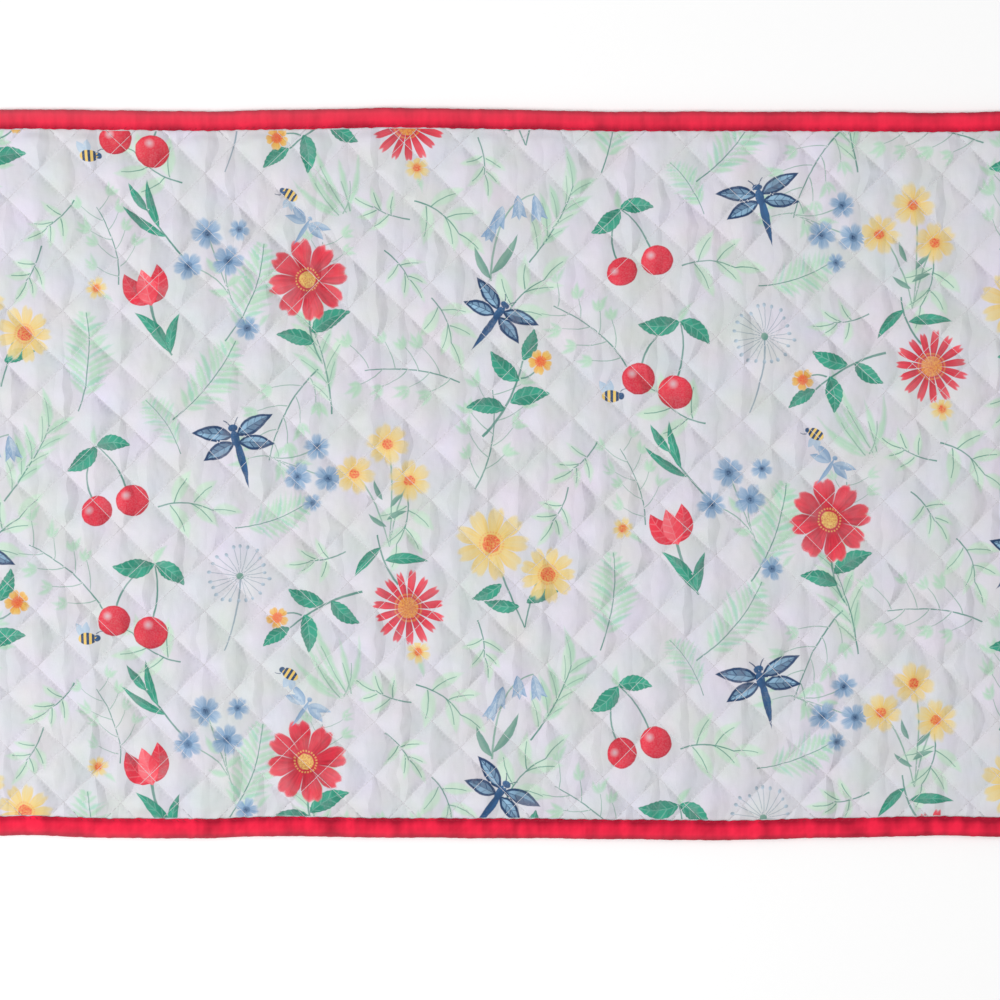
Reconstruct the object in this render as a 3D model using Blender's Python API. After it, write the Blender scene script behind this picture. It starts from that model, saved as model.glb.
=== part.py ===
"""A quilted fabric placemat with a folded binding sewn round its edge, lying flat on a table.

Metres.  +X runs along the mat, +Y towards its back edge and +Z up.
The origin is on the table, under the middle of the mat.

Five pieces: the quilted panel, and four strips of binding mitred at the corners.
"""

import math
from collections import namedtuple

import bmesh
import bpy

# The whole mat
MAT_LENGTH = 0.483
MAT_WIDTH = 0.330
PLAY = 0.0003  # air left between pieces that touch

# The binding: a tape folded over the panel's edge
BINDING_WIDTH = 0.009  # what it covers of the mat's face
TAPE_THICKNESS = 0.0008  # the turned-in tape on each side of the panel
TAPE_PUFF = 0.0003  # how far the tape's face swells between fold and stitching
FOLD_RADIUS = 0.0012
BINDING_STEP = 0.016  # longest stretch of binding between two of its sections

# The panel: printed cloth, wadding and backing, quilted in diamonds
RIM_THICKNESS = 0.0012  # where the binding squeezes it
DIAMOND_LENGTH = 0.0257  # corner to corner along X
DIAMOND_WIDTH = 0.0249  # corner to corner along Y
CROSSING_X = 0.0075  # the crossing of two quilting lines nearest the middle of the mat
CROSSING_Y = 0.0
SEAM_HEIGHT = 0.0017  # top of the panel along a quilting line
CROWN_HEIGHT = 0.0039  # top of the panel in the middle of a diamond
PILLOW_FULLNESS = 0.65  # below 1 the diamonds rise steeply from their seams
EDGE_RISE = 0.0045  # width of the slope from the squeezed rim up to the quilting
SOLE_SLOPE = 0.0012  # width of the slope from the rim down to the flat underside
GRID_PER_DIAMOND = 4  # grid steps across one diamond, each way
NARROWEST_CELL = 0.35  # share of a grid step that may be left over at the panel's rim

# Heights that follow from those above
RIM_BOTTOM = TAPE_THICKNESS + PLAY
RIM_TOP = RIM_BOTTOM + RIM_THICKNESS
TAPE_UNDERSIDE = RIM_TOP + PLAY
TAPE_TOP = TAPE_UNDERSIDE + TAPE_THICKNESS

# How far the two long edges lie outside (+) or inside (-) the true rectangle, in millimetres
EdgeDrift = namedtuple("EdgeDrift", "along back front")
EDGE_DRIFTS = (
    EdgeDrift(along=-1.00, back=0.0, front=0.0),
    EdgeDrift(along=-0.90, back=0.7, front=-0.9),
    EdgeDrift(along=-0.72, back=0.1, front=0.3),
    EdgeDrift(along=-0.56, back=-0.3, front=0.5),
    EdgeDrift(along=-0.42, back=0.3, front=-0.6),
    EdgeDrift(along=-0.20, back=1.3, front=0.2),
    EdgeDrift(along=0.04, back=0.4, front=0.4),
    EdgeDrift(along=0.22, back=-0.5, front=0.9),
    EdgeDrift(along=0.44, back=-0.4, front=1.3),
    EdgeDrift(along=0.62, back=-0.5, front=0.2),
    EdgeDrift(along=0.82, back=-0.9, front=-0.7),
    EdgeDrift(along=1.00, back=-0.2, front=0.0),
)
DRIFT_STARTS = 0.6  # share of the way from the middle to a long edge, below which nothing drifts


def smooth_step(share):
    """Ease from 0 to 1 as share goes from 0 to 1."""
    share = min(max(share, 0.0), 1.0)
    return share * share * (3.0 - 2.0 * share)


def edge_drift(x, y):
    """Sideways drift, in metres, of the long edge on the side of y, at the place x."""
    along = 2.0 * x / MAT_LENGTH
    for before, after in zip(EDGE_DRIFTS, EDGE_DRIFTS[1:]):
        if along <= after.along:
            break
    share = smooth_step((along - before.along) / (after.along - before.along))
    start, end = (before.back, after.back) if y > 0 else (before.front, after.front)
    return 0.001 * (start + (end - start) * share)


def as_it_lies(x, y, z):
    """Move a point of the true rectangle to where the mat's uneven long edges carry it."""
    reach = 2.0 * abs(y) / MAT_WIDTH
    weight = smooth_step((reach - DRIFT_STARTS) / (1.0 - DRIFT_STARTS))
    return (x, y + math.copysign(edge_drift(x, y) * weight, y), z)


def quilted_height(x, y):
    """Height of the panel's top at a point of the true rectangle, in the open quilting."""
    across = (x - CROSSING_X) / DIAMOND_LENGTH
    up = (y - CROSSING_Y) / DIAMOND_WIDTH
    rising = abs(math.sin(math.pi * (across - up)))
    falling = abs(math.sin(math.pi * (across + up)))
    return SEAM_HEIGHT + (CROWN_HEIGHT - SEAM_HEIGHT) * (rising * falling) ** PILLOW_FULLNESS


def grid_lines(half, step, offset):
    """Grid lines on the quilting's own pitch, closed by one at each side of the panel.

    Each line is (number, place); numbers count grid steps from the crossing at the offset.
    """
    nearest_rim = half - NARROWEST_CELL * step
    first = math.ceil((-nearest_rim - offset) / step)
    last = math.floor((nearest_rim - offset) / step)
    inner = [(number, offset + number * step) for number in range(first, last + 1)]
    return [(first - 1, -half)] + inner + [(last + 1, half)]


def leans_right(column, row):
    """Whether a grid cell is split from its lower left corner to its upper right one.

    The split runs along the quilting line through the cell, or beside the nearest one.
    """
    if (column - row) % 2 == 0:
        return (column - row) % GRID_PER_DIAMOND == 0
    return (column + row + 1) % GRID_PER_DIAMOND != 0


def add_quilted_top(mesh, half_length, half_width):
    """Add the panel's top and return its border's vertices, in order round the panel."""
    columns = grid_lines(half_length, DIAMOND_LENGTH / GRID_PER_DIAMOND, CROSSING_X)
    rows = grid_lines(half_width, DIAMOND_WIDTH / GRID_PER_DIAMOND, CROSSING_Y)
    places = {}
    for column, x in columns:
        for row, y in rows:
            from_rim = min(half_length - abs(x), half_width - abs(y))
            rise = smooth_step(from_rim / EDGE_RISE)
            height = RIM_TOP + (quilted_height(x, y) - RIM_TOP) * rise
            places[column, row] = mesh.verts.new(as_it_lies(x, y, height))
    for column, _ in columns[:-1]:
        for row, _ in rows[:-1]:
            low_left = places[column, row]
            low_right = places[column + 1, row]
            high_right = places[column + 1, row + 1]
            high_left = places[column, row + 1]
            if leans_right(column, row):
                mesh.faces.new((low_left, low_right, high_right))
                mesh.faces.new((low_left, high_right, high_left))
            else:
                mesh.faces.new((low_left, low_right, high_left))
                mesh.faces.new((low_right, high_right, high_left))
    left, right = columns[0][0], columns[-1][0]
    front, back = rows[0][0], rows[-1][0]
    border = [(column, front, x, -half_width) for column, x in columns[:-1]]
    border += [(right, row, half_length, y) for row, y in rows[:-1]]
    border += [(column, back, x, half_width) for column, x in reversed(columns[1:])]
    border += [(left, row, -half_length, y) for row, y in reversed(rows[1:])]
    loop = [places[column, row] for column, row, _, _ in border]
    return loop, [(x, y) for _, _, x, y in border]


def join_rings(mesh, upper, lower):
    """Close the wall between two rings of vertices that run the same way round."""
    for here in range(len(upper)):
        following = (here + 1) % len(upper)
        mesh.faces.new((upper[here], lower[here], lower[following], upper[following]))


def panel_mesh():
    """The quilted panel: pillows on top, a squeezed rim all round and a flat underside."""
    mesh = bmesh.new()
    face_inset = BINDING_WIDTH + PLAY
    half_length = MAT_LENGTH / 2 - face_inset
    half_width = MAT_WIDTH / 2 - face_inset
    ring, border = add_quilted_top(mesh, half_length, half_width)
    outline = (
        (TAPE_THICKNESS + PLAY, RIM_TOP),
        (TAPE_THICKNESS + PLAY, RIM_BOTTOM),
        (face_inset, RIM_BOTTOM),
        (face_inset + SOLE_SLOPE, 0.0),
    )
    for inset, height in outline:
        stretch_x = (MAT_LENGTH / 2 - inset) / half_length
        stretch_y = (MAT_WIDTH / 2 - inset) / half_width
        places = [as_it_lies(x * stretch_x, y * stretch_y, height) for x, y in border]
        lower = [mesh.verts.new(place) for place in places]
        join_rings(mesh, ring, lower)
        ring = lower
    mesh.faces.new(list(reversed(ring)))
    return mesh


def binding_section():
    """Outline of the folded tape, as (inset from the fold, height), from its lower inner edge."""
    mid_height = TAPE_TOP / 2
    return (
        (BINDING_WIDTH, 0.0),
        (FOLD_RADIUS, 0.0),
        (FOLD_RADIUS * 0.2, mid_height * 0.4),
        (0.0, mid_height),
        (FOLD_RADIUS * 0.2, TAPE_TOP - mid_height * 0.4),
        (FOLD_RADIUS, TAPE_TOP),
        (BINDING_WIDTH / 2, TAPE_TOP + TAPE_PUFF),
        (BINDING_WIDTH - TAPE_THICKNESS, TAPE_TOP),
        (BINDING_WIDTH, TAPE_UNDERSIDE + TAPE_THICKNESS / 2),
        (BINDING_WIDTH, TAPE_UNDERSIDE),
        (TAPE_THICKNESS, TAPE_UNDERSIDE),
        (TAPE_THICKNESS, TAPE_THICKNESS),
        (BINDING_WIDTH, TAPE_THICKNESS),
    )


def binding_mesh(half_run, half_across, turn):
    """One side's binding, built along +X at the back of the mat and then turned about Z.

    half_run is half the side's length, half_across the fold's distance from the middle.
    """
    mesh = bmesh.new()
    setback = PLAY / math.sqrt(2.0)  # each mitre keeps half the play
    steps = math.ceil(2.0 * half_run / BINDING_STEP)
    cos_turn = round(math.cos(turn))
    sin_turn = round(math.sin(turn))
    rings = []
    for step in range(steps + 1):
        share = 2.0 * step / steps - 1.0
        ring = []
        for inset, height in binding_section():
            run = share * (half_run - inset - setback)
            across = half_across - inset
            x = run * cos_turn - across * sin_turn
            y = run * sin_turn + across * cos_turn
            ring.append(mesh.verts.new(as_it_lies(x, y, height)))
        rings.append(ring)
    for upper, lower in zip(rings, rings[1:]):
        join_rings(mesh, upper, lower)
    mesh.faces.new(rings[0])
    mesh.faces.new(list(reversed(rings[-1])))
    return mesh


def cloth_material(name, colour, roughness):
    """A plain Principled material for one cloth."""
    material = bpy.data.materials.new(name)
    material.use_nodes = True
    surface = material.node_tree.nodes["Principled BSDF"]
    surface.inputs["Base Color"].default_value = (*colour, 1.0)
    surface.inputs["Roughness"].default_value = roughness
    surface.inputs["Metallic"].default_value = 0.0
    material.diffuse_color = (*colour, 1.0)
    return material


def add_piece(name, mesh, material):
    """Put a finished mesh in the scene as one named piece."""
    bmesh.ops.recalc_face_normals(mesh, faces=mesh.faces)
    data = bpy.data.meshes.new(name)
    mesh.to_mesh(data)
    mesh.free()
    data.materials.append(material)
    bpy.context.scene.collection.objects.link(bpy.data.objects.new(name, data))


def build():
    for old in list(bpy.data.objects):
        bpy.data.objects.remove(old, do_unlink=True)
    quilted_cloth = cloth_material("quilted_cloth", (0.76, 0.77, 0.81), 0.85)
    binding_cloth = cloth_material("binding_cloth", (0.80, 0.04, 0.08), 0.75)
    add_piece("panel", panel_mesh(), quilted_cloth)
    half_length = MAT_LENGTH / 2
    half_width = MAT_WIDTH / 2
    sides = (
        ("binding_back", half_length, half_width, 0.0),
        ("binding_left", half_width, half_length, math.pi / 2),
        ("binding_front", half_length, half_width, math.pi),
        ("binding_right", half_width, half_length, -math.pi / 2),
    )
    for name, half_run, half_across, turn in sides:
        add_piece(name, binding_mesh(half_run, half_across, turn), binding_cloth)


build()
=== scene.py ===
"""Looks of a quilted fabric placemat with a folded red binding, seen from straight above.

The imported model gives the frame.  The panel becomes a printed face cloth and a plain backing,
both quilted in diamonds by one Geometry Nodes tree; each side's binding becomes a folded tape;
and the sewing is laid along the quilting lines and round the binding.

The print is drawn as marks (strokes, blooms and spots) in millimetres.  Each mark leaves its own
coordinates on the face cloth's corners, and the print's material paints every mark from those.
"""

import math
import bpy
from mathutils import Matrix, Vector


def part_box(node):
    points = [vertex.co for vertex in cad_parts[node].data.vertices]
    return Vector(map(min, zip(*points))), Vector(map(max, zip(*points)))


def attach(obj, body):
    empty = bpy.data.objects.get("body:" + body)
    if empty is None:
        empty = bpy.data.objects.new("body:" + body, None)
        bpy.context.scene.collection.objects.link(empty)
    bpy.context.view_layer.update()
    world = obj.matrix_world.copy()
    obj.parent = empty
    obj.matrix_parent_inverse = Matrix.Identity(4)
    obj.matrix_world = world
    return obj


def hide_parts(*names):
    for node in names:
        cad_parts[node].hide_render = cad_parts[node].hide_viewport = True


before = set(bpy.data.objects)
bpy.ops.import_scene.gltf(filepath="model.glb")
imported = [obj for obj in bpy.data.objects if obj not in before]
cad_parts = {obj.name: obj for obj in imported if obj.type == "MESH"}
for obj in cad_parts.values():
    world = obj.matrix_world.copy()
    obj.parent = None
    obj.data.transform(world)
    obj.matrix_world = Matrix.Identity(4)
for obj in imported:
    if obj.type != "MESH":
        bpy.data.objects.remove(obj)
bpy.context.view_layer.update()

from types import SimpleNamespace

import bmesh
import bpy
import numpy as np

MM = 0.001

# The mat's sizes, in metres; the model gives those that it holds
END_LOW, END_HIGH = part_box("binding_right")
MAT_LENGTH = 2 * END_HIGH[0]
MAT_WIDTH = 0.330
BINDING_WIDTH = END_HIGH[0] - END_LOW[0]
PLAY = 0.3 * MM  # between one cloth and the next
PLY = 0.32 * MM
TAPE_THICKNESS = 0.8 * MM  # two plies of tape
RIM_INSET = TAPE_THICKNESS + PLAY  # from the mat's edge to the panel's, inside the binding
RIM_BOTTOM = TAPE_THICKNESS + PLAY
RIM_TOP = RIM_BOTTOM + 1.2 * MM
TAPE_UNDERSIDE = RIM_TOP + PLAY
FIELD_HALF_LENGTH = MAT_LENGTH / 2 - BINDING_WIDTH - PLAY  # the cloth that shows
FIELD_HALF_WIDTH = MAT_WIDTH / 2 - BINDING_WIDTH - PLAY

# Quilting
DIAMOND_LENGTH = 25.7 * MM
DIAMOND_WIDTH = 24.9 * MM
SEAM_RUN = math.hypot(DIAMOND_LENGTH, DIAMOND_WIDTH)  # of a seam, for one diamond's length across
SEAM_SPACING = DIAMOND_LENGTH * DIAMOND_WIDTH / SEAM_RUN
CROSSING_X = 7.5 * MM  # where two seams cross on the mat's long middle line
ON_SEAM = 0.0001  # puts a point that lies on a seam in one diamond
SEAM_HEIGHT = 1.7 * MM
CROWN_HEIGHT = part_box("panel")[1][2] - 0.2 * MM
EDGE_RISE = 4.5 * MM  # how far the cloth takes to rise from its rim
FACE_CELLS = 18  # grid cells across one diamond of the face cloth
BACK_CELLS = 8

# The pillows, as shares of a diamond's size or of its height
PLUMPNESS = 0.84
FILL_SPREAD = 0.3  # how differently they are filled
RIDGE_ASIDE = 0.09  # how far left of the middle their ridge runs
RIDGE_SPREAD = 0.22
RIDGE_ROUNDING = 0.002
LEAN_BALANCE = 0.93
LEAN = 0.9
DENTS = 0.22  # beside the seams, as a share of the wrinkles
DENTS_PER_METRE = 420.0
WIDE_FOLDS = 1.9  # folds across a diamond, raised in the cloth
FINE_FOLDS = 3.0  # and in its material
SEAM_DIP_WIDTH = 1.5 * MM

# How far the long edges lie outside (+) or inside (-) the true rectangle, in millimetres
EDGE_DRIFTS = np.array(
    [
        # share of the half length, back edge, front edge
        (-1.00, 0.0, 0.0),
        (-0.90, 0.7, -0.9),
        (-0.72, 0.1, 0.3),
        (-0.56, -0.3, 0.5),
        (-0.42, 0.3, -0.6),
        (-0.20, 1.3, 0.2),
        (0.04, 0.4, 0.4),
        (0.22, -0.5, 0.9),
        (0.44, -0.4, 1.3),
        (0.62, -0.5, 0.2),
        (0.82, -0.9, -0.7),
        (1.00, -0.2, 0.0),
    ]
)
DRIFT_STARTS = 0.6  # share of the half width past which the cloth follows its edge


# ---------------------------------------------------------------- node trees


class Value:
    """A node's output socket.  Arithmetic on it adds Math nodes."""

    def __init__(self, graph, socket):
        self.graph = graph
        self.socket = socket

    def __add__(self, other):
        return self.graph.maths("ADD", self, other)

    __radd__ = __add__

    def __sub__(self, other):
        return self.graph.maths("SUBTRACT", self, other)

    def __rsub__(self, other):
        return self.graph.maths("SUBTRACT", other, self)

    def __mul__(self, other):
        return self.graph.maths("MULTIPLY", self, other)

    __rmul__ = __mul__

    def __truediv__(self, other):
        return self.graph.maths("DIVIDE", self, other)

    def __rtruediv__(self, other):
        return self.graph.maths("DIVIDE", other, self)

    def __pow__(self, other):
        return self.graph.maths("POWER", self, other)

    def __abs__(self):
        return self.graph.maths("ABSOLUTE", self)

    def __gt__(self, other):
        return self.graph.maths("GREATER_THAN", self, other)

    def __lt__(self, other):
        return self.graph.maths("LESS_THAN", self, other)


class Made:
    """A node that has been added, whose outputs are read by name or number."""

    def __init__(self, graph, node):
        self.graph = graph
        self.node = node

    def __getitem__(self, key):
        return Value(self.graph, self.node.outputs[key])


class Graph:
    """A shader or geometry tree that is being built."""

    def __init__(self, tree):
        self.tree = tree

    def node(self, kind, settings=None, inputs=None):
        """Add a node: its settings first, then values or links for its sockets."""
        made = self.tree.nodes.new(kind)
        for key, setting in (settings or {}).items():
            setattr(made, key, setting)
        for key, value in (inputs or {}).items():
            if isinstance(value, Value):
                self.tree.links.new(value.socket, made.inputs[key])
            else:
                made.inputs[key].default_value = value
        return Made(self, made)

    def maths(self, operation, *values, clamp=False):
        settings = {"operation": operation, "use_clamp": clamp}
        return self.node("ShaderNodeMath", settings, dict(enumerate(values)))[0]

    def vector(self, operation, *values):
        return self.node("ShaderNodeVectorMath", {"operation": operation}, dict(enumerate(values)))[0]

    def distance(self, x, y):
        return self.maths("SQRT", x * x + y * y)

    def joined(self, x, y, z=0.0):
        return self.node("ShaderNodeCombineXYZ", {}, {0: x, 1: y, 2: z})[0]

    def grey(self, value):
        return self.joined(value, value, value)

    def parts(self, value):
        made = self.node("ShaderNodeSeparateXYZ", {}, {0: value})
        return made[0], made[1], made[2]

    def blend(self, share, first, second):
        """A colour between two; share is held from 0 to 1."""
        settings = {"data_type": "RGBA", "clamp_factor": True}
        pair = [(*colour, 1.0) if isinstance(colour, tuple) else colour for colour in (first, second)]
        return self.node("ShaderNodeMix", settings, {0: share, 6: pair[0], 7: pair[1]})[2]

    def noise(self, place, scale, detail=2.0):
        inputs = {"Vector": place, "Scale": scale, "Detail": detail}
        return self.node("ShaderNodeTexNoise", {"noise_dimensions": "3D"}, inputs)

    def uneven(self, place, scale, detail=2.0):
        """Soft noise about 0."""
        return self.noise(place, scale, detail)["Fac"] - 0.5

    def chance(self, first, second):
        """Random numbers that belong to two whole numbers."""
        settings = {"noise_dimensions": "2D"}
        return self.node("ShaderNodeTexWhiteNoise", settings, {"Vector": self.joined(first, second)})

    def soft(self, inside, width):
        """1 where inside is well above 0, 0 well below, over a soft edge of this width."""
        return self.maths("MULTIPLY_ADD", inside, 1.0 / width, 0.5, clamp=True)

    def eased(self, share):
        """A share held from 0 to 1 that starts and ends gently."""
        held = self.most(self.least(share, 1.0), 0.0)
        return held * held * (3.0 - held * 2.0)

    def sine(self, value):
        return self.maths("SINE", value)

    def fraction(self, value):
        return self.maths("FRACT", value)

    def floor(self, value):
        return self.maths("FLOOR", value)

    def most(self, first, second):
        return self.maths("MAXIMUM", first, second)

    def least(self, first, second):
        return self.maths("MINIMUM", first, second)


SOCKETS = {"number": "NodeSocketFloat", "count": "NodeSocketInt", "finish": "NodeSocketMaterial"}


def shape_tree(name, inputs):
    """A Geometry Nodes tree with named inputs, given as name to kind."""
    tree = bpy.data.node_groups.new(name, "GeometryNodeTree")
    for label, kind in inputs.items():
        tree.interface.new_socket(name=label, in_out="INPUT", socket_type=SOCKETS[kind])
    tree.interface.new_socket(name="Shape", in_out="OUTPUT", socket_type="NodeSocketGeometry")
    graph = Graph(tree)
    return graph, graph.node("NodeGroupInput")


def placed(graph, shape, place):
    """A shape with its points moved to a place."""
    return graph.node("GeometryNodeSetPosition", {}, {"Geometry": shape, "Position": place})[0]


def end_shape_tree(graph, shape, finish):
    """Realize the instances, set the material and close the tree."""
    real = graph.node("GeometryNodeRealizeInstances", {}, {"Geometry": shape})[0]
    worn = graph.node("GeometryNodeSetMaterial", {}, {"Geometry": real, "Material": finish})[0]
    graph.node("NodeGroupOutput", {}, {0: worn})
    return graph.tree


def grown(tree, values):
    """Run a shape tree with these inputs and return its plain mesh."""
    host = bpy.data.objects.new("host", bpy.data.meshes.new("host"))
    bpy.context.scene.collection.objects.link(host)
    modifier = host.modifiers.new("shape", "NODES")
    modifier.node_group = tree
    for item in tree.interface.items_tree:
        if item.in_out == "INPUT":
            modifier[item.identifier] = values[item.name]
    evaluated = host.evaluated_get(bpy.context.evaluated_depsgraph_get())
    mesh = bpy.data.meshes.new_from_object(evaluated)
    host.modifiers.remove(modifier)
    bpy.data.objects.remove(host)
    return mesh


# ---------------------------------------------------------------- the quilting's diamonds


def diamond(g, x, y):
    """Where a point lies in the quilting.

    rising and falling are whole on the seams that rise and that fall to the right; beside and
    above are its place in its diamond, from -0.5 to 0.5; luck is three chances of its diamond's own.
    """
    across = (x - CROSSING_X) / DIAMOND_LENGTH
    up = y / DIAMOND_WIDTH
    rising = across - up
    falling = across + up
    row = g.floor(rising + ON_SEAM)
    column = g.floor(falling + ON_SEAM)
    return SimpleNamespace(
        rising=rising,
        falling=falling,
        beside=across - (row + column + 1.0) * 0.5,
        above=up - (column - row) * 0.5,
        luck=g.parts(g.chance(row, column)["Color"]),
    )


def folds(g, at, number):
    """Flat-sided folds that run up a diamond and draw together at its ends: heights from 0 to 1."""
    first, second, third = at.luck
    # luck times a large number takes each diamond to a stretch of chance of its own
    narrowing = 0.6 - abs(at.above) * 0.7
    bend = g.uneven(g.joined(at.beside * 3.0, at.above * 3.0 + second * 11.0, third * 5.0), 1.0, 0.0)
    fan = at.beside / narrowing * number + first * 23.0 + bend * 0.7
    step = g.floor(fan)
    low, high = (g.chance(step + side, third * 57.0)["Value"] for side in (0.0, 1.0))
    return low + (high - low) * (fan - step)


# ---------------------------------------------------------------- shape of the mat


def smooth_step(share):
    share = np.clip(share, 0.0, 1.0)
    return share * share * (3.0 - 2.0 * share)


def edge_drift(x, side):
    """Drift in metres of the back (side 1) or front (side 2) edge at each x."""
    along = np.clip(2.0 * x / MAT_LENGTH, -1.0, 1.0)
    after = np.clip(np.searchsorted(EDGE_DRIFTS[:, 0], along), 1, len(EDGE_DRIFTS) - 1)
    start, end = EDGE_DRIFTS[after - 1], EDGE_DRIFTS[after]
    share = smooth_step((along - start[:, 0]) / (end[:, 0] - start[:, 0]))
    return MM * (start[:, side] + (end[:, side] - start[:, side]) * share)


def as_it_lies(points):
    """Points of the true rectangle, moved to where the real mat's cloth lies."""
    moved = points.copy()
    x, y = points[:, 0], points[:, 1]
    drift = np.where(y > 0, edge_drift(x, 1), -edge_drift(x, 2))
    reach = 2.0 * np.abs(y) / MAT_WIDTH
    moved[:, 1] += drift * smooth_step((reach - DRIFT_STARTS) / (1.0 - DRIFT_STARTS))
    # away from the binding the cloth has crept a little, and its seams with it
    inland = np.minimum(MAT_LENGTH / 2 - np.abs(x), MAT_WIDTH / 2 - np.abs(y))
    free = smooth_step((inland - BINDING_WIDTH) / (30 * MM))
    moved[:, 0] += 0.7 * MM * free * np.sin(x / 0.031 + y / 0.019 + 0.8)
    moved[:, 1] += 0.6 * MM * free * np.sin(x / 0.027 - y / 0.023 + 2.1)
    return moved


def numbers(items, key, width, kind=np.float32):
    """One property of all the points, corners or faces of a mesh."""
    found = np.empty(len(items) * width, kind)
    items.foreach_get(key, found)
    return found.reshape(-1, width) if width > 1 else found


def lay(mesh):
    """Move a mesh's points from the true rectangle to where the mat lies."""
    places = numbers(mesh.vertices, "co", 3)
    mesh.vertices.foreach_set("co", as_it_lies(places.astype(np.float64)).ravel())
    mesh.update()


def piece(name, mesh):
    """Put a finished mesh in the scene as a piece of the mat's one body."""
    mesh.name = name
    made = bpy.data.objects.new(name, mesh)
    bpy.context.scene.collection.objects.link(made)
    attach(made, "root")
    return made


# ---------------------------------------------------------------- quilted cloths


def quilting_tree():
    """A cloth quilted in diamonds: a grid in step with the quilting, raised to its pillows."""
    inputs = {
        "Columns": "count",
        "Rows": "count",
        "Cell length": "number",
        "Cell width": "number",
        "Shift X": "number",
        "Shift Y": "number",
        "Half length": "number",
        "Half width": "number",
        "Seam height": "number",
        "Crown height": "number",
        "Rim height": "number",
        "Fullness": "number",
        "Ridge": "number",
        "Wrinkle": "number",
        "Finish": "finish",
    }
    g, given = shape_tree("diamond quilting", inputs)
    sizes = {
        "Size X": (given["Columns"] - 1) * given["Cell length"],
        "Size Y": (given["Rows"] - 1) * given["Cell width"],
        "Vertices X": given["Columns"],
        "Vertices Y": given["Rows"],
    }
    grid = g.node("GeometryNodeMeshGrid", {}, sizes)[0]
    place_x, place_y, _ = g.parts(g.node("GeometryNodeInputPosition")[0])
    half_x, half_y = given["Half length"], given["Half width"]
    x = g.most(g.least(place_x + given["Shift X"], half_x), 0 - half_x)
    y = g.most(g.least(place_y + given["Shift Y"], half_y), 0 - half_y)

    at = diamond(g, x, y)
    between_seams = abs(g.sine(at.rising * math.pi)) * abs(g.sine(at.falling * math.pi))
    pillow = between_seams ** given["Fullness"]
    fill, off_middle, lean = at.luck

    # each diamond is filled a little differently and has a ridge near its middle
    aside = at.beside + RIDGE_ASIDE + (off_middle - 0.5) * RIDGE_SPREAD
    ridge = 1.0 - g.maths("SQRT", aside * aside + RIDGE_ROUNDING) * 2.0
    plump = PLUMPNESS + ridge * given["Ridge"] + (fill - 0.5) * FILL_SPREAD
    plump = plump + (lean - LEAN_BALANCE) * at.beside * LEAN
    dents = g.uneven(g.joined(x, y), DENTS_PER_METRE, 1.0) * (1.0 - pillow) * DENTS
    wrinkles = (folds(g, at, WIDE_FOLDS) - 0.5) * pillow + dents
    full = (given["Crown height"] - given["Seam height"]) * pillow * plump
    height = given["Seam height"] + full + given["Wrinkle"] * wrinkles
    rise = g.eased(g.least(half_x - abs(x), half_y - abs(y)) / EDGE_RISE)
    z = given["Rim height"] + (height - given["Rim height"]) * rise
    return end_shape_tree(g, placed(g, grid, g.joined(x, y, z)), given["Finish"])


def grid_reach(half, step, offset):
    """Number of grid lines that cover a side, and the shift that puts them on the quilting."""
    first = math.floor((-half - offset) / step + ON_SEAM)
    last = math.ceil((half - offset) / step - ON_SEAM)
    return last - first + 1, offset + step * (first + last) / 2


def cut_along_seams(work):
    """Cut each grid cell in two along its lower diagonal, so that both sets of seams lie on edges."""
    for face in list(work.faces):
        a, b, c, d = face.verts
        ends = (a, c) if a.co.z + c.co.z < b.co.z + d.co.z else (b, d)
        bmesh.utils.face_split(face, *ends)


def close_cloth(work, rings):
    """Join an open cloth's border to each ring (inset, height) in turn, then fill."""
    edge = [e for e in work.edges if e.is_boundary]
    half = np.array([MAT_LENGTH / 2, MAT_WIDTH / 2])
    reach = np.array([FIELD_HALF_LENGTH, FIELD_HALF_WIDTH])
    for inset, height in rings:
        added = bmesh.ops.extrude_edge_only(work, edges=edge)["geom"]
        for vertex in [v for v in added if isinstance(v, bmesh.types.BMVert)]:
            share = np.clip(np.array(vertex.co[:2]) / reach, -1.0, 1.0)
            vertex.co = (*(share * (half - inset)), height)
        edge = [e for e in added if isinstance(e, bmesh.types.BMEdge) and e.is_boundary]
        reach = half - inset
    bmesh.ops.contextual_create(work, geom=edge)
    bmesh.ops.recalc_face_normals(work, faces=work.faces)


def quilted_cloth(tree, cells, form, rings):
    """One of the panel's two cloths as a closed mesh.

    cells is the grid's for one diamond, form what the tree is given for this cloth alone, and
    rings are those that close it.
    """
    columns, shift_x = grid_reach(FIELD_HALF_LENGTH, DIAMOND_LENGTH / cells, CROSSING_X)
    rows, shift_y = grid_reach(FIELD_HALF_WIDTH, DIAMOND_WIDTH / cells, 0.0)
    both = {
        "Columns": columns,
        "Rows": rows,
        "Cell length": DIAMOND_LENGTH / cells,
        "Cell width": DIAMOND_WIDTH / cells,
        "Shift X": shift_x,
        "Shift Y": shift_y,
        "Half length": FIELD_HALF_LENGTH,
        "Half width": FIELD_HALF_WIDTH,
        "Fullness": 0.6,
    }
    mesh = grown(tree, {**both, **form})
    work = bmesh.new()
    work.from_mesh(mesh)
    cut_along_seams(work)
    close_cloth(work, rings)
    work.to_mesh(mesh)
    work.free()
    mesh.shade_smooth()
    as_cut = mesh.attributes.new("as_cut", "FLOAT_VECTOR", "POINT")
    as_cut.data.foreach_set("vector", numbers(mesh.vertices, "co", 3).ravel())
    return mesh


# ---------------------------------------------------------------- sewing


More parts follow.
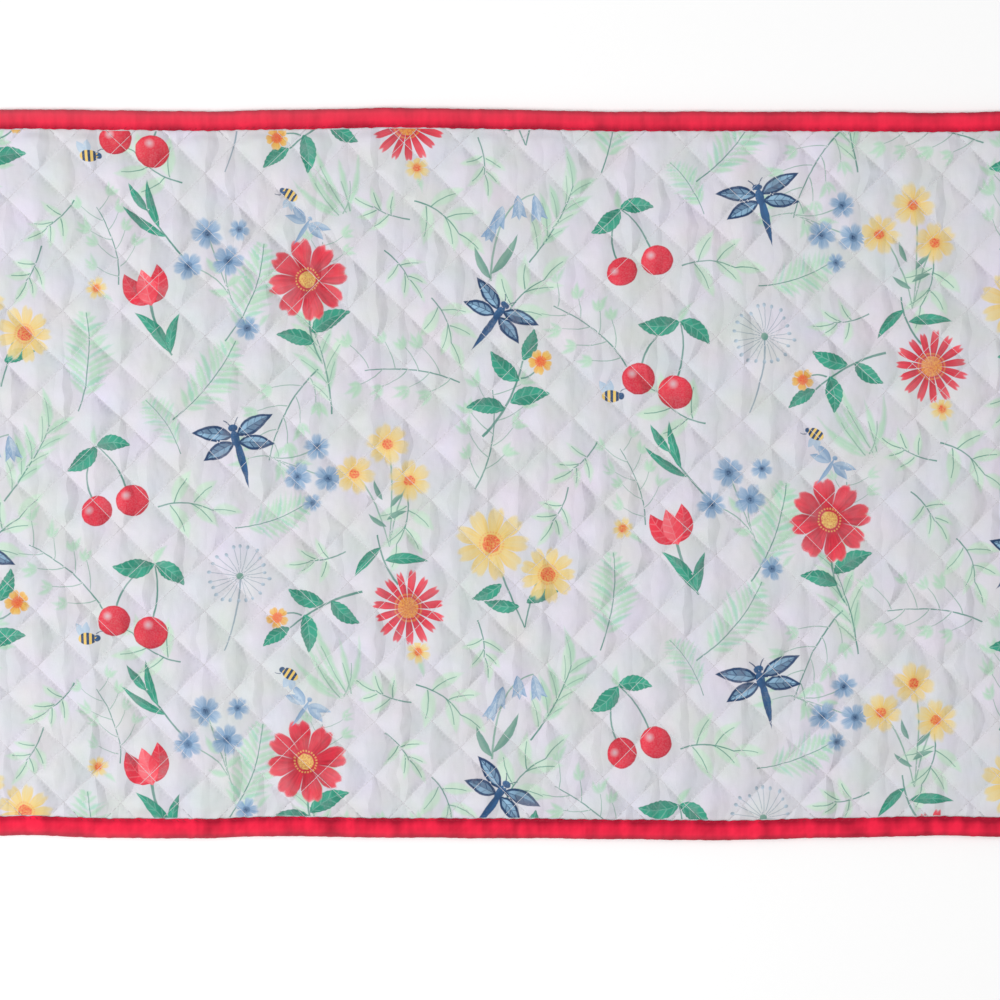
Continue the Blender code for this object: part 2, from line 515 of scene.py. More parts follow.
def stitch(g, length, radius):
    """One stitch along Z: a thin rod of three lengths whose ends are drawn in."""
    form = {"Vertices": 4, "Side Segments": 3, "Radius": 1.0, "Depth": 2.0}
    rod = g.node("GeometryNodeMeshCylinder", {}, form)
    x, y, z = g.parts(g.node("GeometryNodeInputPosition")[0])
    at_end = abs(z) > 0.5
    slim = (1.0 - at_end * 0.12) * radius
    # the two middle rings move from a third of the way out to four fifths
    far = z * (2.4 - at_end * 1.4) * length * 0.5
    slimmed = placed(g, rod["Mesh"], g.joined(x * slim, y * slim, far))
    rounded = {"Geometry": slimmed, "Shade Smooth": rod["Side"]}
    return g.node("GeometryNodeSetShadeSmooth", {}, rounded)[0]


def sew(g, points, turn, given):
    """Put a stitch on every point and close the tree."""
    spread = {
        "Points": points,
        "Instance": stitch(g, given["Stitch length"], given["Thread radius"]),
        "Rotation": turn,
    }
    sewn = g.node("GeometryNodeInstanceOnPoints", {}, spread)[0]
    return end_shape_tree(g, sewn, given["Finish"])


def quilt_sewing_tree():
    """Stitches along one set of quilting lines."""
    inputs = {
        "Lines": "count",
        "Stitches": "count",
        "First line": "number",
        "Slope": "number",
        "Pitch": "number",
        "Stitch length": "number",
        "Thread radius": "number",
        "Half length": "number",
        "Half width": "number",
        "Seam height": "number",
        "Rim height": "number",
        "Finish": "finish",
    }
    g, given = shape_tree("quilting stitches", inputs)
    total = given["Lines"] * given["Stitches"]
    in_a_row = {"mode": "OFFSET", "count_mode": "TOTAL"}
    points = g.node("GeometryNodeMeshLine", in_a_row, {"Count": total})[0]
    number = g.node("GeometryNodeInputIndex")[0]
    line = g.floor((number + 0.5) / given["Stitches"])
    step = number - line * given["Stitches"]
    # each line starts at another part of a stitch
    y = (step - given["Stitches"] * 0.5 + g.fraction(line * 0.37)) * given["Pitch"]
    # along a line one lattice number is whole and the other grows with y
    across = given["First line"] + line + given["Slope"] * y / DIAMOND_WIDTH
    x = across * DIAMOND_LENGTH + CROSSING_X
    room = g.least(given["Half length"] - abs(x), given["Half width"] - abs(y))
    z = given["Rim height"] + (given["Seam height"] - given["Rim height"]) * g.eased(room / EDGE_RISE)
    laid = placed(g, points, g.joined(x, y, z))
    outside = {"Geometry": laid, "Selection": room < 0.0}
    kept = g.node("GeometryNodeDeleteGeometry", {"domain": "POINT"}, outside)[0]
    heading = g.maths("ARCTAN2", DIAMOND_WIDTH, given["Slope"] * DIAMOND_LENGTH)
    return sew(g, kept, g.joined(0.0, math.pi / 2, heading), given)


def edge_sewing_tree():
    """A row of stitches round a rectangle, following the binding's inner edge."""
    inputs = {
        "Length": "number",
        "Width": "number",
        "Stitches": "count",
        "Stitch length": "number",
        "Thread radius": "number",
        "Height": "number",
        "Finish": "finish",
    }
    g, given = shape_tree("edge stitches", inputs)
    sides = {"Width": given["Length"], "Height": given["Width"]}
    outline = g.node("GeometryNodeCurvePrimitiveQuadrilateral", {"mode": "RECTANGLE"}, sides)[0]
    count = {"Curve": outline, "Count": given["Stitches"]}
    spaced = g.node("GeometryNodeCurveToPoints", {"mode": "COUNT"}, count)
    up = {"Geometry": spaced["Points"], "Offset": g.joined(0.0, 0.0, given["Height"])}
    lifted = g.node("GeometryNodeSetPosition", {}, up)[0]
    return sew(g, lifted, spaced["Rotation"], given)


# ---------------------------------------------------------------- binding


TAPE_FACE = TAPE_UNDERSIDE + TAPE_THICKNESS - PLY / 2  # middle of the ply on top
RAW_EDGE = 3.0 * MM  # inset of the tape's turned-in raw edges
SEWING_INSET = BINDING_WIDTH - 0.95 * MM
HEM_TURN = 0.21 * MM  # radius at which a hem is turned under
OUTER_FOLD = 1.25 * MM  # radius of the fold round the mat's edge
MITRE = BINDING_WIDTH * 1.6  # the stretch at each end of a tape that turns into the mitre
CORNER_RADIUS = 3.0 * MM
SECTION_STEP = 1.1 * MM  # between a tape's cross-sections

# Waves of a tape's unevenness: wavelength in mm, height as a share
PULLS = ((9.1, 0.5), (5.3, 0.5), (3.7, 0.4), (23, 0.35))
SWAYS = ((47, 0.5), (83, 0.5), (29, 0.4))


def ripples(run, chance, waves):
    """Unevenness along a seam: waves with seeded phases."""
    total = np.zeros_like(run)
    for wavelength, height in waves:
        phase = chance.uniform(0, 2 * np.pi)
        total += height * np.sin(2 * np.pi * run / (wavelength * MM) + phase)
    return total


def arc(centre, radius, start, end, count):
    """Points (inset, height) on an arc; angles in degrees, 0 towards the mat's middle."""
    turns = np.radians(np.linspace(start, end, count))
    return [(centre[0] + radius * math.cos(t), centre[1] + radius * math.sin(t)) for t in turns]


def tape_path():
    """Middle line of the folded tape's cloth, from one raw edge round the fold to the other."""
    inner = BINDING_WIDTH - HEM_TURN - PLY / 2
    low = PLY / 2
    fold = OUTER_FOLD - PLY / 2
    hem_low, hem_high = low + 2 * HEM_TURN, TAPE_FACE - 2 * HEM_TURN
    hem_turns = RAW_EDGE + 2.5 * MM
    face = np.linspace(OUTER_FOLD, inner, 19)[1:-1]
    path = [(RAW_EDGE, hem_low), (hem_turns, hem_low)]
    path += arc((inner, low + HEM_TURN), HEM_TURN, 90, -90, 7)
    path += [(inset, low) for inset in face[::-2]]
    path += arc((OUTER_FOLD, low + fold), fold, 270, 180, 6)
    path += arc((OUTER_FOLD, TAPE_FACE - fold), fold, 180, 90, 6)
    path += [(inset, TAPE_FACE) for inset in face]
    path += arc((inner, TAPE_FACE - HEM_TURN), HEM_TURN, 90, -90, 7)
    path += [(hem_turns, hem_high), (RAW_EDGE, hem_high)]
    return np.array(path)


def cloth_outline(path):
    """Both sides of a ply along its middle line, and how far along the cloth each point lies."""
    forward = np.gradient(path, axis=0)
    normal = np.stack([-forward[:, 1], forward[:, 0]], axis=1)
    normal /= np.linalg.norm(normal, axis=1, keepdims=True)
    outline = np.concatenate([path + normal * PLY / 2, (path - normal * PLY / 2)[::-1]])
    lengths = np.concatenate([[0.0], np.cumsum(np.linalg.norm(np.diff(path, axis=0), axis=1))])
    return outline, np.concatenate([lengths, lengths[::-1]])


def rounded_corner(x, across, half_run, half_across):
    """The places again, with the mat's outer corners a little round."""
    deep_x = np.maximum(CORNER_RADIUS - (half_run - np.abs(x)), 0.0)
    deep_y = np.maximum(CORNER_RADIUS - (half_across - across), 0.0)
    shrink = np.maximum(deep_x, deep_y) / np.maximum(np.hypot(deep_x, deep_y), 1e-9)
    in_corner = (deep_x > 0) & (deep_y > 0)
    near_x = np.sign(x) * (half_run - CORNER_RADIUS + deep_x * shrink)
    near_y = half_across - CORNER_RADIUS + deep_y * shrink
    return np.where(in_corner, near_x, x), np.where(in_corner, near_y, across)


def tape_mesh(half_run, half_across, turn, seed):
    """One side's binding as folded cloth, built along +X at the back and turned about Z."""
    chance = np.random.default_rng(seed)
    outline, unfolded = cloth_outline(tape_path())
    inset, height = outline[:, 0][None], outline[:, 1][None]

    run = np.linspace(-half_run, half_run, 2 * round(half_run / SECTION_STEP) + 1)
    left = half_run - np.abs(run)
    into = np.clip(left / MITRE, 0.0, 1.0)[:, None]
    held = half_run - inset - into * (MITRE - inset)
    x = np.where(left[:, None] < MITRE, np.sign(run)[:, None] * held, run[:, None])

    # the tape puffs between its fold and its seam, which pulls it in unevenly
    on_top = smooth_step((height - 1.4 * MM) / (0.8 * MM))
    face = smooth_step((inset - 0.6 * MM) / (1.0 * MM)) * on_top
    groove = np.exp(-(((inset - SEWING_INSET) / (0.5 * MM)) ** 2))
    puff = np.sin(np.clip(inset / SEWING_INSET, 0, 1) * np.pi) * face
    pull = ripples(run, chance, PULLS)[:, None]
    drag = np.sin(2 * np.pi * (x + 1.3 * inset) / (7.3 * MM) + 1.5 * np.sin(x / (19 * MM)))
    sway = ripples(run, chance, SWAYS)[:, None]
    ends = smooth_step(left / (4 * MM))[:, None]
    z = height + ends * (
        puff * MM * (0.32 + 0.13 * sway + 0.12 * pull + 0.10 * drag)
        - face * groove * MM * (0.38 + 0.12 * pull)
    )
    beside = smooth_step((inset - SEWING_INSET) / (0.6 * MM)) * MM * 0.2 * pull
    outer = (1.0 - smooth_step(inset / (4.0 * MM))) * MM * (0.14 * sway + 0.10 * pull)
    across = half_across - (inset + ends * (beside + outer * on_top))
    x, across = rounded_corner(x, across, half_run, half_across)

    cos_turn, sin_turn = round(math.cos(turn)), round(math.sin(turn))
    places = np.stack([x * cos_turn - across * sin_turn, x * sin_turn + across * cos_turn, z], axis=2)
    rings, points = places.shape[:2]
    here = np.arange(rings * points).reshape(rings, points)
    following = np.roll(here, -1, axis=1)
    walls = np.stack([here[:-1], here[1:], following[1:], following[:-1]], axis=2).reshape(-1, 4)
    caps = [here[0].tolist()[::-1], here[-1].tolist()]
    mesh = bpy.data.meshes.new("tape")
    mesh.from_pydata(places.reshape(-1, 3).tolist(), [], walls.tolist() + caps)
    on_tape = mesh.attributes.new("on_tape", "FLOAT_VECTOR", "POINT")
    tape = np.stack(np.broadcast_arrays(run[:, None], unfolded[None], inset), axis=2)
    on_tape.data.foreach_set("vector", tape.ravel().astype(np.float32))
    work = bmesh.new()
    work.from_mesh(mesh)
    bmesh.ops.recalc_face_normals(work, faces=work.faces)
    work.to_mesh(mesh)
    work.free()
    mesh.shade_smooth()
    lay(mesh)
    return mesh


# ---------------------------------------------------------------- the print's marks


def ink(red, green, blue):
    """A colour as it looks in plain light, 0 to 255 each, as linear light."""
    shares = np.array([red, green, blue]) / 255.0
    linear = np.where(shares <= 0.04045, shares / 12.92, ((shares + 0.055) / 1.055) ** 2.4)
    return tuple(float(share) for share in linear)


GROUND = ink(209, 209, 215)
RED_DEEP, RED, RED_PALE = ink(182, 26, 50), ink(236, 46, 70), ink(240, 112, 122)
YELLOW_DEEP, YELLOW, YELLOW_PALE = ink(222, 152, 62), ink(228, 193, 102), ink(221, 205, 150)
ORANGE = ink(224, 80, 52)
NAVY, NAVY_SOFT = ink(16, 56, 98), ink(38, 90, 138)
BLUE_DEEP, BLUE, BLUE_PALE = ink(110, 147, 184), ink(163, 186, 209), ink(186, 202, 217)
WING_BLUE = ink(148, 188, 216)
TEAL_DEEP, TEAL, TEAL_PALE = ink(22, 116, 96), ink(52, 162, 134), ink(146, 206, 184)
MINT_DEEP, MINT, MINT_PALE = ink(160, 204, 176), ink(182, 213, 190), ink(196, 219, 200)
STEM, STEM_PALE, STEM_GREY = ink(84, 138, 126), ink(132, 168, 154), ink(134, 153, 165)

STROKE_LAYERS = ("wash", "leaf", "petal")
LINE_LAYERS = ("stem", "fine")
DISC_LAYERS = ("bloom", "spot")
OFF_STROKE = (-5.0, 99.0, 1.0)  # a mark's own coordinates where no mark is near
OFF_DISC = (99.0, 99.0, 1.0)
MARK_REACH = 2.5  # mm round a mark on which the cloth still carries its coordinates
SPINE_POINTS = 15


class Pen:
    """Draws one motif's marks, in millimetres, at its own place, turn and size on the cloth."""

    def __init__(self, marks, place, turn, size, chance):
        self.marks = marks
        self.place = np.array(place)
        self.turn = math.radians(turn)
        self.size = size
        self.chance = chance

    def on_cloth(self, points):
        c, s = math.cos(self.turn) * self.size, math.sin(self.turn) * self.size
        return np.array(points, float) @ np.array([[c, s], [-s, c]]) + self.place

    def stroke(self, layer, start, bend, end, width, colours, form=(0.0, 0.0, 0.0)):
        """A brush stroke along a bent line, width its half-width.

        form is (teeth in mm, veins from -1 dark to 1 pale, outline from 0 to 1).
        """
        step = np.linspace(0, 1, SPINE_POINTS)[:, None]
        start, bend, end = self.on_cloth([start, bend, end])
        spine = (1 - step) ** 2 * start + 2 * step * (1 - step) * bend + step**2 * end
        kind = "line" if layer in LINE_LAYERS else "stroke"
        self.marks[layer].append(
            SimpleNamespace(kind=kind, spine=spine, width=width * self.size, colours=colours, form=form)
        )

    def leaf(self, layer, base, heading, length, width, colours, curl=0.15, form=(0.0, 0.0, 0.0)):
        """A stroke from its base, with its heading in degrees and its curl to the left."""
        turn = math.radians(heading)
        along = np.array([math.cos(turn), math.sin(turn)])
        beside = np.array([-along[1], along[0]])
        base = np.array(base, float)
        bend = base + along * length * 0.5 + beside * length * curl
        self.stroke(layer, base, bend, base + along * length, width, colours, form)

    def line(self, layer, start, bend, end, width, colour):
        self.stroke(layer, start, bend, end, width, (colour, colour))

    def ribbed_leaf(self, base, heading, length, width, colours, curl, rib):
        """A soft leaf with a thin rib that fades before its tip."""
        self.leaf("wash", base, heading, length, width, colours, curl)
        self.leaf("fine", base, heading, length * 0.78, 0.2, (rib, rib), curl)

    def bloom(self, centre, radius, petals, cleft, eye, colours, softness=0.0):
        """An open flower: cleft from 0 round to 1 parted, eye its share of the radius."""
        self.marks["bloom"].append(
            SimpleNamespace(
                kind="disc",
                centre=self.on_cloth([centre])[0],
                turn=self.turn,
                radii=np.array([radius, radius]) * self.size,
                colours=colours,
                form=(petals, cleft, eye),
                seed=self.chance.uniform(0, 1),
                softness=softness,
            )
        )

    def spot(self, centre, radii, heading, colours, stripes=0.0, gloss=0.0):
        """A round or oval mark."""
        self.marks["spot"].append(
            SimpleNamespace(
                kind="disc",
                centre=self.on_cloth([centre])[0],
                turn=self.turn + math.radians(heading),
                radii=np.array(radii, float) * self.size,
                colours=colours,
                form=(stripes, gloss, 0.0),
            )
        )


# Forms of a stroke: teeth, veins, outline
TOOTHED = (0.55, 0.8, 0.0)
VEINED = (0.0, 0.6, 0.0)
WING = (0.0, -1.0, 1.0)

# Pairs of colours, the deeper one first
TEAL_LEAF = (TEAL_DEEP, TEAL)
MINT_LEAF = (MINT_DEEP, MINT)


def rose(pen):
    pen.line("stem", (0, -4), (-5, -14), (1, -28), 0.42, STEM)
    pen.leaf("leaf", (-2, -15), 20, 21, 4.0, TEAL_LEAF, 0.16, TOOTHED)
    pen.leaf("leaf", (-1, -20), 160, 18, 3.5, TEAL_LEAF, -0.14, TOOTHED)
    pen.bloom((0, 9), 19.5, 8, 0.34, 0.19, (RED_DEEP, RED, YELLOW), 0.25)


def aster(pen):
    pen.line("stem", (0, -2), (4, -12), (0, -26), 0.42, STEM)
    pen.leaf("leaf", (1.5, -14), 158, 20, 2.4, TEAL_LEAF, 0.12, VEINED)
    pen.leaf("leaf", (1, -20), 24, 18, 2.2, TEAL_LEAF, -0.12, VEINED)
    pen.bloom((0, 9), 17.5, 15, 0.8, 0.27, (RED_DEEP, RED, YELLOW_DEEP), 0.35)


def tulip(pen):
    pen.line("stem", (0, 0), (-2, -12), (2, -27), 0.55, STEM)
    pen.leaf("leaf", (1, -25), 112, 24, 2.7, TEAL_LEAF, -0.16, VEINED)
    pen.leaf("leaf", (1.6, -26), 62, 19, 2.3, TEAL_LEAF, 0.14, VEINED)
    pen.leaf("leaf", (-0.8, -1), 112, 18, 4.6, (RED_DEEP, RED), 0.16, VEINED)
    pen.leaf("leaf", (0.8, -1), 68, 18, 4.6, (RED_DEEP, RED), -0.16, VEINED)
    pen.leaf("petal", (0, -2), 90, 17.5, 4.5, (RED, RED_PALE), 0.0, VEINED)


def sunny_pair(pen):
    pen.line("stem", (-8, 6), (-2, -14), (2, -27), 0.4, STEM)
    pen.line("stem", (12, -2), (6, -14), (2, -27), 0.4, STEM)
    for base, heading, length in (((-6, -6), 200, 13), ((1, -17), 166, 14), ((4, -16), 14, 13)):
        pen.leaf("leaf", base, heading, length + 3, 3.0, TEAL_LEAF, 0.14, TOOTHED)
    pen.bloom((-9, 12), 17, 9, 0.42, 0.24, (YELLOW, YELLOW_PALE, ORANGE), 0.7)
    pen.bloom((15, -4), 13.5, 9, 0.42, 0.25, (YELLOW, YELLOW_PALE, ORANGE), 0.7)


def buttercups(pen):
    for centre, bend in (((0, 17), (6, 2)), ((-13, 2), (-2, -6)), ((12, 1), (8, -8))):
        pen.line("stem", centre, bend, (6, -30), 0.34, STEM_PALE)
    for base, heading in (((4, -18), 30), ((4, -21), 150), ((5, -12), 52), ((1, -9), 118)):
        pen.leaf("leaf", base, heading, 10, 1.1, (STEM, STEM_PALE), 0.12)
    for centre, radius in (((0, 17), 10.2), ((-13, 2), 9.6), ((12, 1), 10.0)):
        pen.bloom(centre, radius, 6, 0.36, 0.24, (YELLOW, YELLOW_PALE, ORANGE), 1.0)


def cherries(pen):
    pen.line("stem", (-9, -5), (-9, 8), (3, 17), 0.38, STEM)
    pen.line("stem", (8, -7), (9, 6), (3, 17), 0.38, STEM)
    pen.leaf("leaf", (3, 17), 196, 19, 4.3, TEAL_LEAF, 0.18, TOOTHED)
    pen.leaf("leaf", (3, 17), -24, 17, 3.9, TEAL_LEAF, 0.18, TOOTHED)
    pen.leaf("wash", (3, 17), 70, 9, 1.4, MINT_LEAF, 0.2)
    pen.spot((-9, -12), (7.4, 7.0), 20, (RED_DEEP, RED), gloss=1.0)
    pen.spot((8.5, -14), (7.8, 7.3), -15, (RED_DEEP, RED), gloss=1.0)


def dragonfly(pen):
    for side in (-1, 1):
        for base, heading, length, width in (((0.9, 5.8), 17, 20, 3.6), ((0.9, 2.6), -15, 17.5, 3.5)):
            turned = heading if side > 0 else 180 - heading
            place = (side * base[0], base[1])
            pen.leaf("petal", place, turned, length, width, (NAVY, WING_BLUE), 0.06 * side, WING)
        pen.line("fine", (side * 0.8, 10), (side * 2.0, 13), (side * 3.6, 14), 0.26, NAVY)
    pen.leaf("leaf", (0, 7), -90, 26, 1.8, (NAVY, NAVY_SOFT), 0.04)
    pen.spot((0, 4.6), (2.0, 4.2), 0, (NAVY, NAVY_SOFT))
    pen.spot((0, 9.6), (2.3, 1.7), 0, (NAVY, NAVY_SOFT))


def pale_dragonfly(pen):
    for side in (-1, 1):
        for heading, length in ((20, 11), (-12, 10)):
            turned = heading if side > 0 else 180 - heading
            base = (side * 0.6, 1.5)
            pen.leaf("leaf", base, turned, length, 1.9, (BLUE_DEEP, BLUE_PALE), 0.05 * side)
    pen.leaf("petal", (0, 4), -90, 14, 0.9, (BLUE_DEEP, BLUE), 0.05)
    pen.spot((0, 4.4), (1.1, 1.0), 0, (BLUE_DEEP, BLUE))


def bee(pen):
    for heading, length in ((118, 7.5), (76, 6.5)):
        pen.leaf("leaf", (-0.4, 1.2), heading, length, 1.9, (BLUE, BLUE_PALE), 0.08)
    pen.line("fine", (4.4, 1.2), (6.2, 2.4), (7.4, 1.8), 0.18, NAVY)
    pen.spot((0, 0), (4.3, 2.7), -12, (NAVY, YELLOW), stripes=1.0)
    pen.spot((4.3, -0.7), (1.5, 1.5), 0, (NAVY, NAVY_SOFT))


def bluebells(pen):
    pen.line("stem", (-7, -23), (-9, 12), (9, 17), 0.42, STEM_PALE)
    pen.leaf("leaf", (-7, -20), 62, 21, 1.9, (STEM, STEM_PALE), -0.12)
    pen.leaf("leaf", (-7, -22), 122, 16, 1.7, (STEM, STEM_PALE), 0.12)
    for top, heading, length in (
        ((9, 16.5), -74, 12),
        ((1.5, 16), -82, 11),
        ((-5, 10.5), -100, 10.5),
        ((-7.5, 3), -112, 9),
    ):
        for lean in (-19, 19):
            curl = -0.012 * lean
            pen.leaf("leaf", top, heading + lean, length, 1.9, (BLUE_DEEP, BLUE), curl, VEINED)
        pen.leaf("petal", top, heading, length * 1.04, 2.0, (BLUE_DEEP, BLUE_PALE), 0.0, VEINED)


def forget_me_nots(pen):
    for centre in ((-2, 14), (-13, 1), (5, 0)):
        pen.line("fine", centre, (1, -6), (4, -20), 0.28, STEM_PALE)
    for base, heading in (((3, -12), 25), ((3, -15), 160), ((0, -5), 118)):
        pen.leaf("wash", base, heading, 9, 1.5, MINT_LEAF, 0.12)
    for centre, radius in (((-2, 14), 7.6), ((-13, 1), 7.0), ((5, 0), 7.7), ((13, 13), 5.2)):
        pen.bloom(centre, radius, 5, 0.38, 0.15, (BLUE_DEEP, BLUE, NAVY), 0.6)


def seed_clock(pen):
    pen.line("stem", (0, 9), (3, -8), (-1, -26), 0.36, STEM_GREY)
    rays = 22
    for ray in range(rays):
        turn = 2 * math.pi * (ray + pen.chance.uniform(-0.25, 0.25)) / rays
        reach = pen.chance.uniform(11.0, 14.0)
        tip = (reach * math.cos(turn), 9 + reach * math.sin(turn))
        pen.line("fine", (0, 9), (tip[0] * 0.5 + 0.6, (tip[1] + 9) * 0.5), tip, 0.13, STEM_GREY)
        pen.spot(tip, (0.95, 0.75), math.degrees(turn), (STEM_GREY, BLUE_PALE))
    pen.spot((0, 9), (1.6, 1.6), 0, (STEM, STEM_PALE))


def sprig(pen):
    pen.line("stem", (-13, -17), (0, -6), (6, 12), 0.45, STEM)
    for base, heading, length, curl in (
        ((-3, -7), 172, 16, -0.16),
        ((-1, -4.5), 8, 17, 0.16),
        ((4, 4), 128, 17, 0.16),
        ((6, 12), 66, 14, -0.12),
    ):
        pen.leaf("leaf", base, heading, length, length * 0.21, TEAL_LEAF, curl, TOOTHED)
    pen.line("stem", (4.5, 5), (9, 5), (12, 9), 0.32, STEM)
    pen.bloom((13, 11), 5.2, 5, 0.3, 0.3, (YELLOW_DEEP, YELLOW, ORANGE))


def slim_sprig(pen):
    pen.line("stem", (2, -24), (-2, -4), (-3, 10), 0.4, STEM)
    for base, heading, length in (((-1.2, -6), 116, 24), ((-2, -1), 74, 22), ((-2.6, 8), 96, 15)):
        pen.leaf("leaf", base, heading, length, 1.9, TEAL_LEAF, 0.1, VEINED)


def willow(pen):
    pen.line("fine", (0, -26), (4, -4), (1, 14), 0.3, STEM)
    for leaf in range(9):
        y = -20 + 4.1 * leaf
        side = 1 if leaf % 2 else -1
        heading = 90 - side * pen.chance.uniform(24, 46)
        length = pen.chance.uniform(13, 20)
        colours = MINT_LEAF if leaf % 3 else (MINT, MINT_PALE)
        base = (1.8 - 0.05 * abs(y), y)
        pen.ribbed_leaf(base, heading, length, 2.1, colours, 0.1 * side, STEM_PALE)


def fern(pen):
    pen.line("fine", (-2, -24), (5, 0), (-1, 24), 0.26, STEM)
    rows = 12
    for row in range(rows):
        share = (row + 1) / rows
        y = -19 + 41 * share
        x = 1.6 - 0.006 * (y + 2) ** 2
        length = 11.5 * math.sin(math.pi * (0.16 + 0.8 * share)) + 2.0
        for side in (-1, 1):
            heading = 90 - side * pen.chance.uniform(46, 58)
            colours = (TEAL_PALE, MINT_DEEP) if row % 4 == 1 else MINT_LEAF
            pen.leaf("wash", (x, y), heading, length, 1.2, colours, 0.1 * side)


def soft_leaves(pen):
    pen.line("stem", (1, -19), (-4, -6), (2, 7), 0.3, STEM)
    for base, heading, length, width in (
        ((0, -13), 30, 18, 3.4),
        ((-1, -11), 152, 17, 3.2),
        ((-1, -3), 50, 17, 3.0),
        ((-1, -2), 132, 16, 2.9),
        ((2, 7), 86, 15, 3.0),
    ):
        pen.ribbed_leaf(base, heading, length, width, (MINT, MINT_PALE), 0.12, STEM)


def young_spray(pen):
    pen.line("fine", (1, -14), (-2, -4), (0, 4), 0.28, STEM)
    for height, heading, length in ((-5, 18, 11), (-4, 150, 12), (0, 42, 12), (2, 128, 10), (4, 84, 13)):
        turned = heading + pen.chance.uniform(-10, 10)
        pen.ribbed_leaf((-0.4, height), turned, length, 1.9, (MINT, MINT_PALE), 0.12, STEM)


def airy_twig(pen):
    pen.line("fine", (0, -26), (6, -6), (-2, 20), 0.3, STEM)
    for step in range(8):
        share = 0.12 + 0.12 * step
        x, y = 12 * share * (1 - share) - 2 * share**2, -26 + 40 * share + 6 * share**2
        side = 1 if step % 2 else -1
        tip = (x + side * pen.chance.uniform(7, 12), y + pen.chance.uniform(6, 11))
        pen.line("fine", (x, y), ((x + tip[0]) / 2, y + 2), tip, 0.2, STEM_PALE)
        for turn in (-30, 2, 30):
            length = pen.chance.uniform(5, 8.5)
            pen.leaf("wash", tip, 90 - side * 42 + turn, length, 1.2, MINT_LEAF)


def grass_tuft(pen):
    for blade in range(8):
        lean = pen.chance.uniform(-38, 38)
        length = pen.chance.uniform(22, 42)
        base = (blade * 0.9 - 3.2, -20)
        pen.leaf("wash", base, 90 + lean, length, 1.25, MINT_LEAF, lean * 0.005)
        if blade % 2:
            pen.leaf("fine", base, 93 + lean, length * 0.6, 0.22, (STEM_PALE,) * 2, lean * 0.005)


def tiny_yellow(pen):
    pen.leaf("wash", (0, -4), -70, 7, 1.0, MINT_LEAF)
    pen.bloom((0, 0), 5.8, 6, 0.4, 0.3, (YELLOW, YELLOW_PALE, ORANGE), 0.8)


def tiny_blue(pen):
    pen.leaf("wash", (2, -4), -20, 6, 0.9, MINT_LEAF)
    pen.bloom((0, 0), 5.0, 5, 0.4, 0.14, (BLUE_DEEP, BLUE, NAVY), 0.5)


# What one repeat holds: motif, turn in degrees, size, the room it needs in mm, and its colour
REPEAT = (
    (rose, 8, 1.0, 27, "red"),
    (aster, -158, 1.0, 25, "red"),
    (tulip, 18, 1.0, 21, "red"),
    (sunny_pair, 6, 1.0, 28, "yellow"),
    (buttercups, -6, 1.0, 25, "yellow"),
    (cherries, -12, 1.0, 21, "red"),
    (cherries, 24, 0.94, 20, "red"),
    (dragonfly, 14, 0.96, 18, "navy"),
    (dragonfly, -38, 0.9, 18, "navy"),
    (pale_dragonfly, -34, 1.0, 10, "blue"),
    (bee, 12, 1.0, 8, "navy"),
    (bee, 160, 0.9, 8, "navy"),
    (bluebells, -4, 1.0, 20, "blue"),
    (forget_me_nots, 10, 1.0, 17, "blue"),
    (forget_me_nots, -120, 0.9, 16, "blue"),
    (seed_clock, -8, 1.0, 19, "grey"),
    (sprig, 4, 1.15, 20, "green"),
    (sprig, 150, 1.05, 19, "green"),
    (slim_sprig, 30, 1.0, 17, "green"),
    (tiny_yellow, 0, 1.0, 7, "yellow"),
    (tiny_yellow, 40, 0.9, 7, "yellow"),
    (tiny_blue, 70, 1.2, 8, "blue"),
    (willow, 16, 1.0, 20, "pale"),
    (willow, -28, 1.0, 20, "pale"),
    (fern, -20, 1.0, 20, "pale"),
    (fern, 34, 0.6, 13, "pale"),
    (soft_leaves, -40, 1.0, 16, "pale"),
    (soft_leaves, 60, 1.0, 16, "pale"),
    (soft_leaves, 170, 0.9, 15, "pale"),
    (airy_twig, -12, 1.0, 19, "pale"),
    (airy_twig, 150, 1.0, 19, "pale"),
    (grass_tuft, 20, 1.0, 17, "pale"),
)
REPEAT_LENGTH = 238.0  # mm
REPEAT_WIDTH = 218.0
REPEAT_SEED = 7

# Sprays for the bare places between the motifs, and the radius in mm of each at full size
FILLERS = (
    (young_spray, 14.0),
    (soft_leaves, 19.0),
    (airy_twig, 23.0),
    (young_spray, 14.0),
    (fern, 22.0),
)
FAR = 30.0  # mm past which a clearance isn't measured
BARE_ENOUGH = 14.0  # mm to the nearest mark, past which a spray is added
SPRAY_SIZES = (0.5, 0.95)
SPOT_SPACING = 5.0  # mm between the spots that are tried for bareness
GOLDEN_TURN = 137.5  # degrees from one spray's turn to the next's
MOTIF_REACH = 40.0  # mm from a motif's place to the farthest of its marks

# How near two motifs may come, as a share of their rooms added up
ALIKE = 1.35
UNLIKE = 0.9
BOTH_PALE = 0.78
ONE_PALE = 0.56
EASINGS = 600
EASING = 0.12  # share of an overlap that one easing takes away


def half_drops(reach):
    """Shifts from one repeat to those round it, each column half a repeat lower than the last."""
    return np.array(
        [
            (column * REPEAT_LENGTH, row * REPEAT_WIDTH + (column % 2) * REPEAT_WIDTH / 2)
            for column in range(-reach, reach + 1)
            for row in range(-reach - 1, reach + 1)
        ]
    )


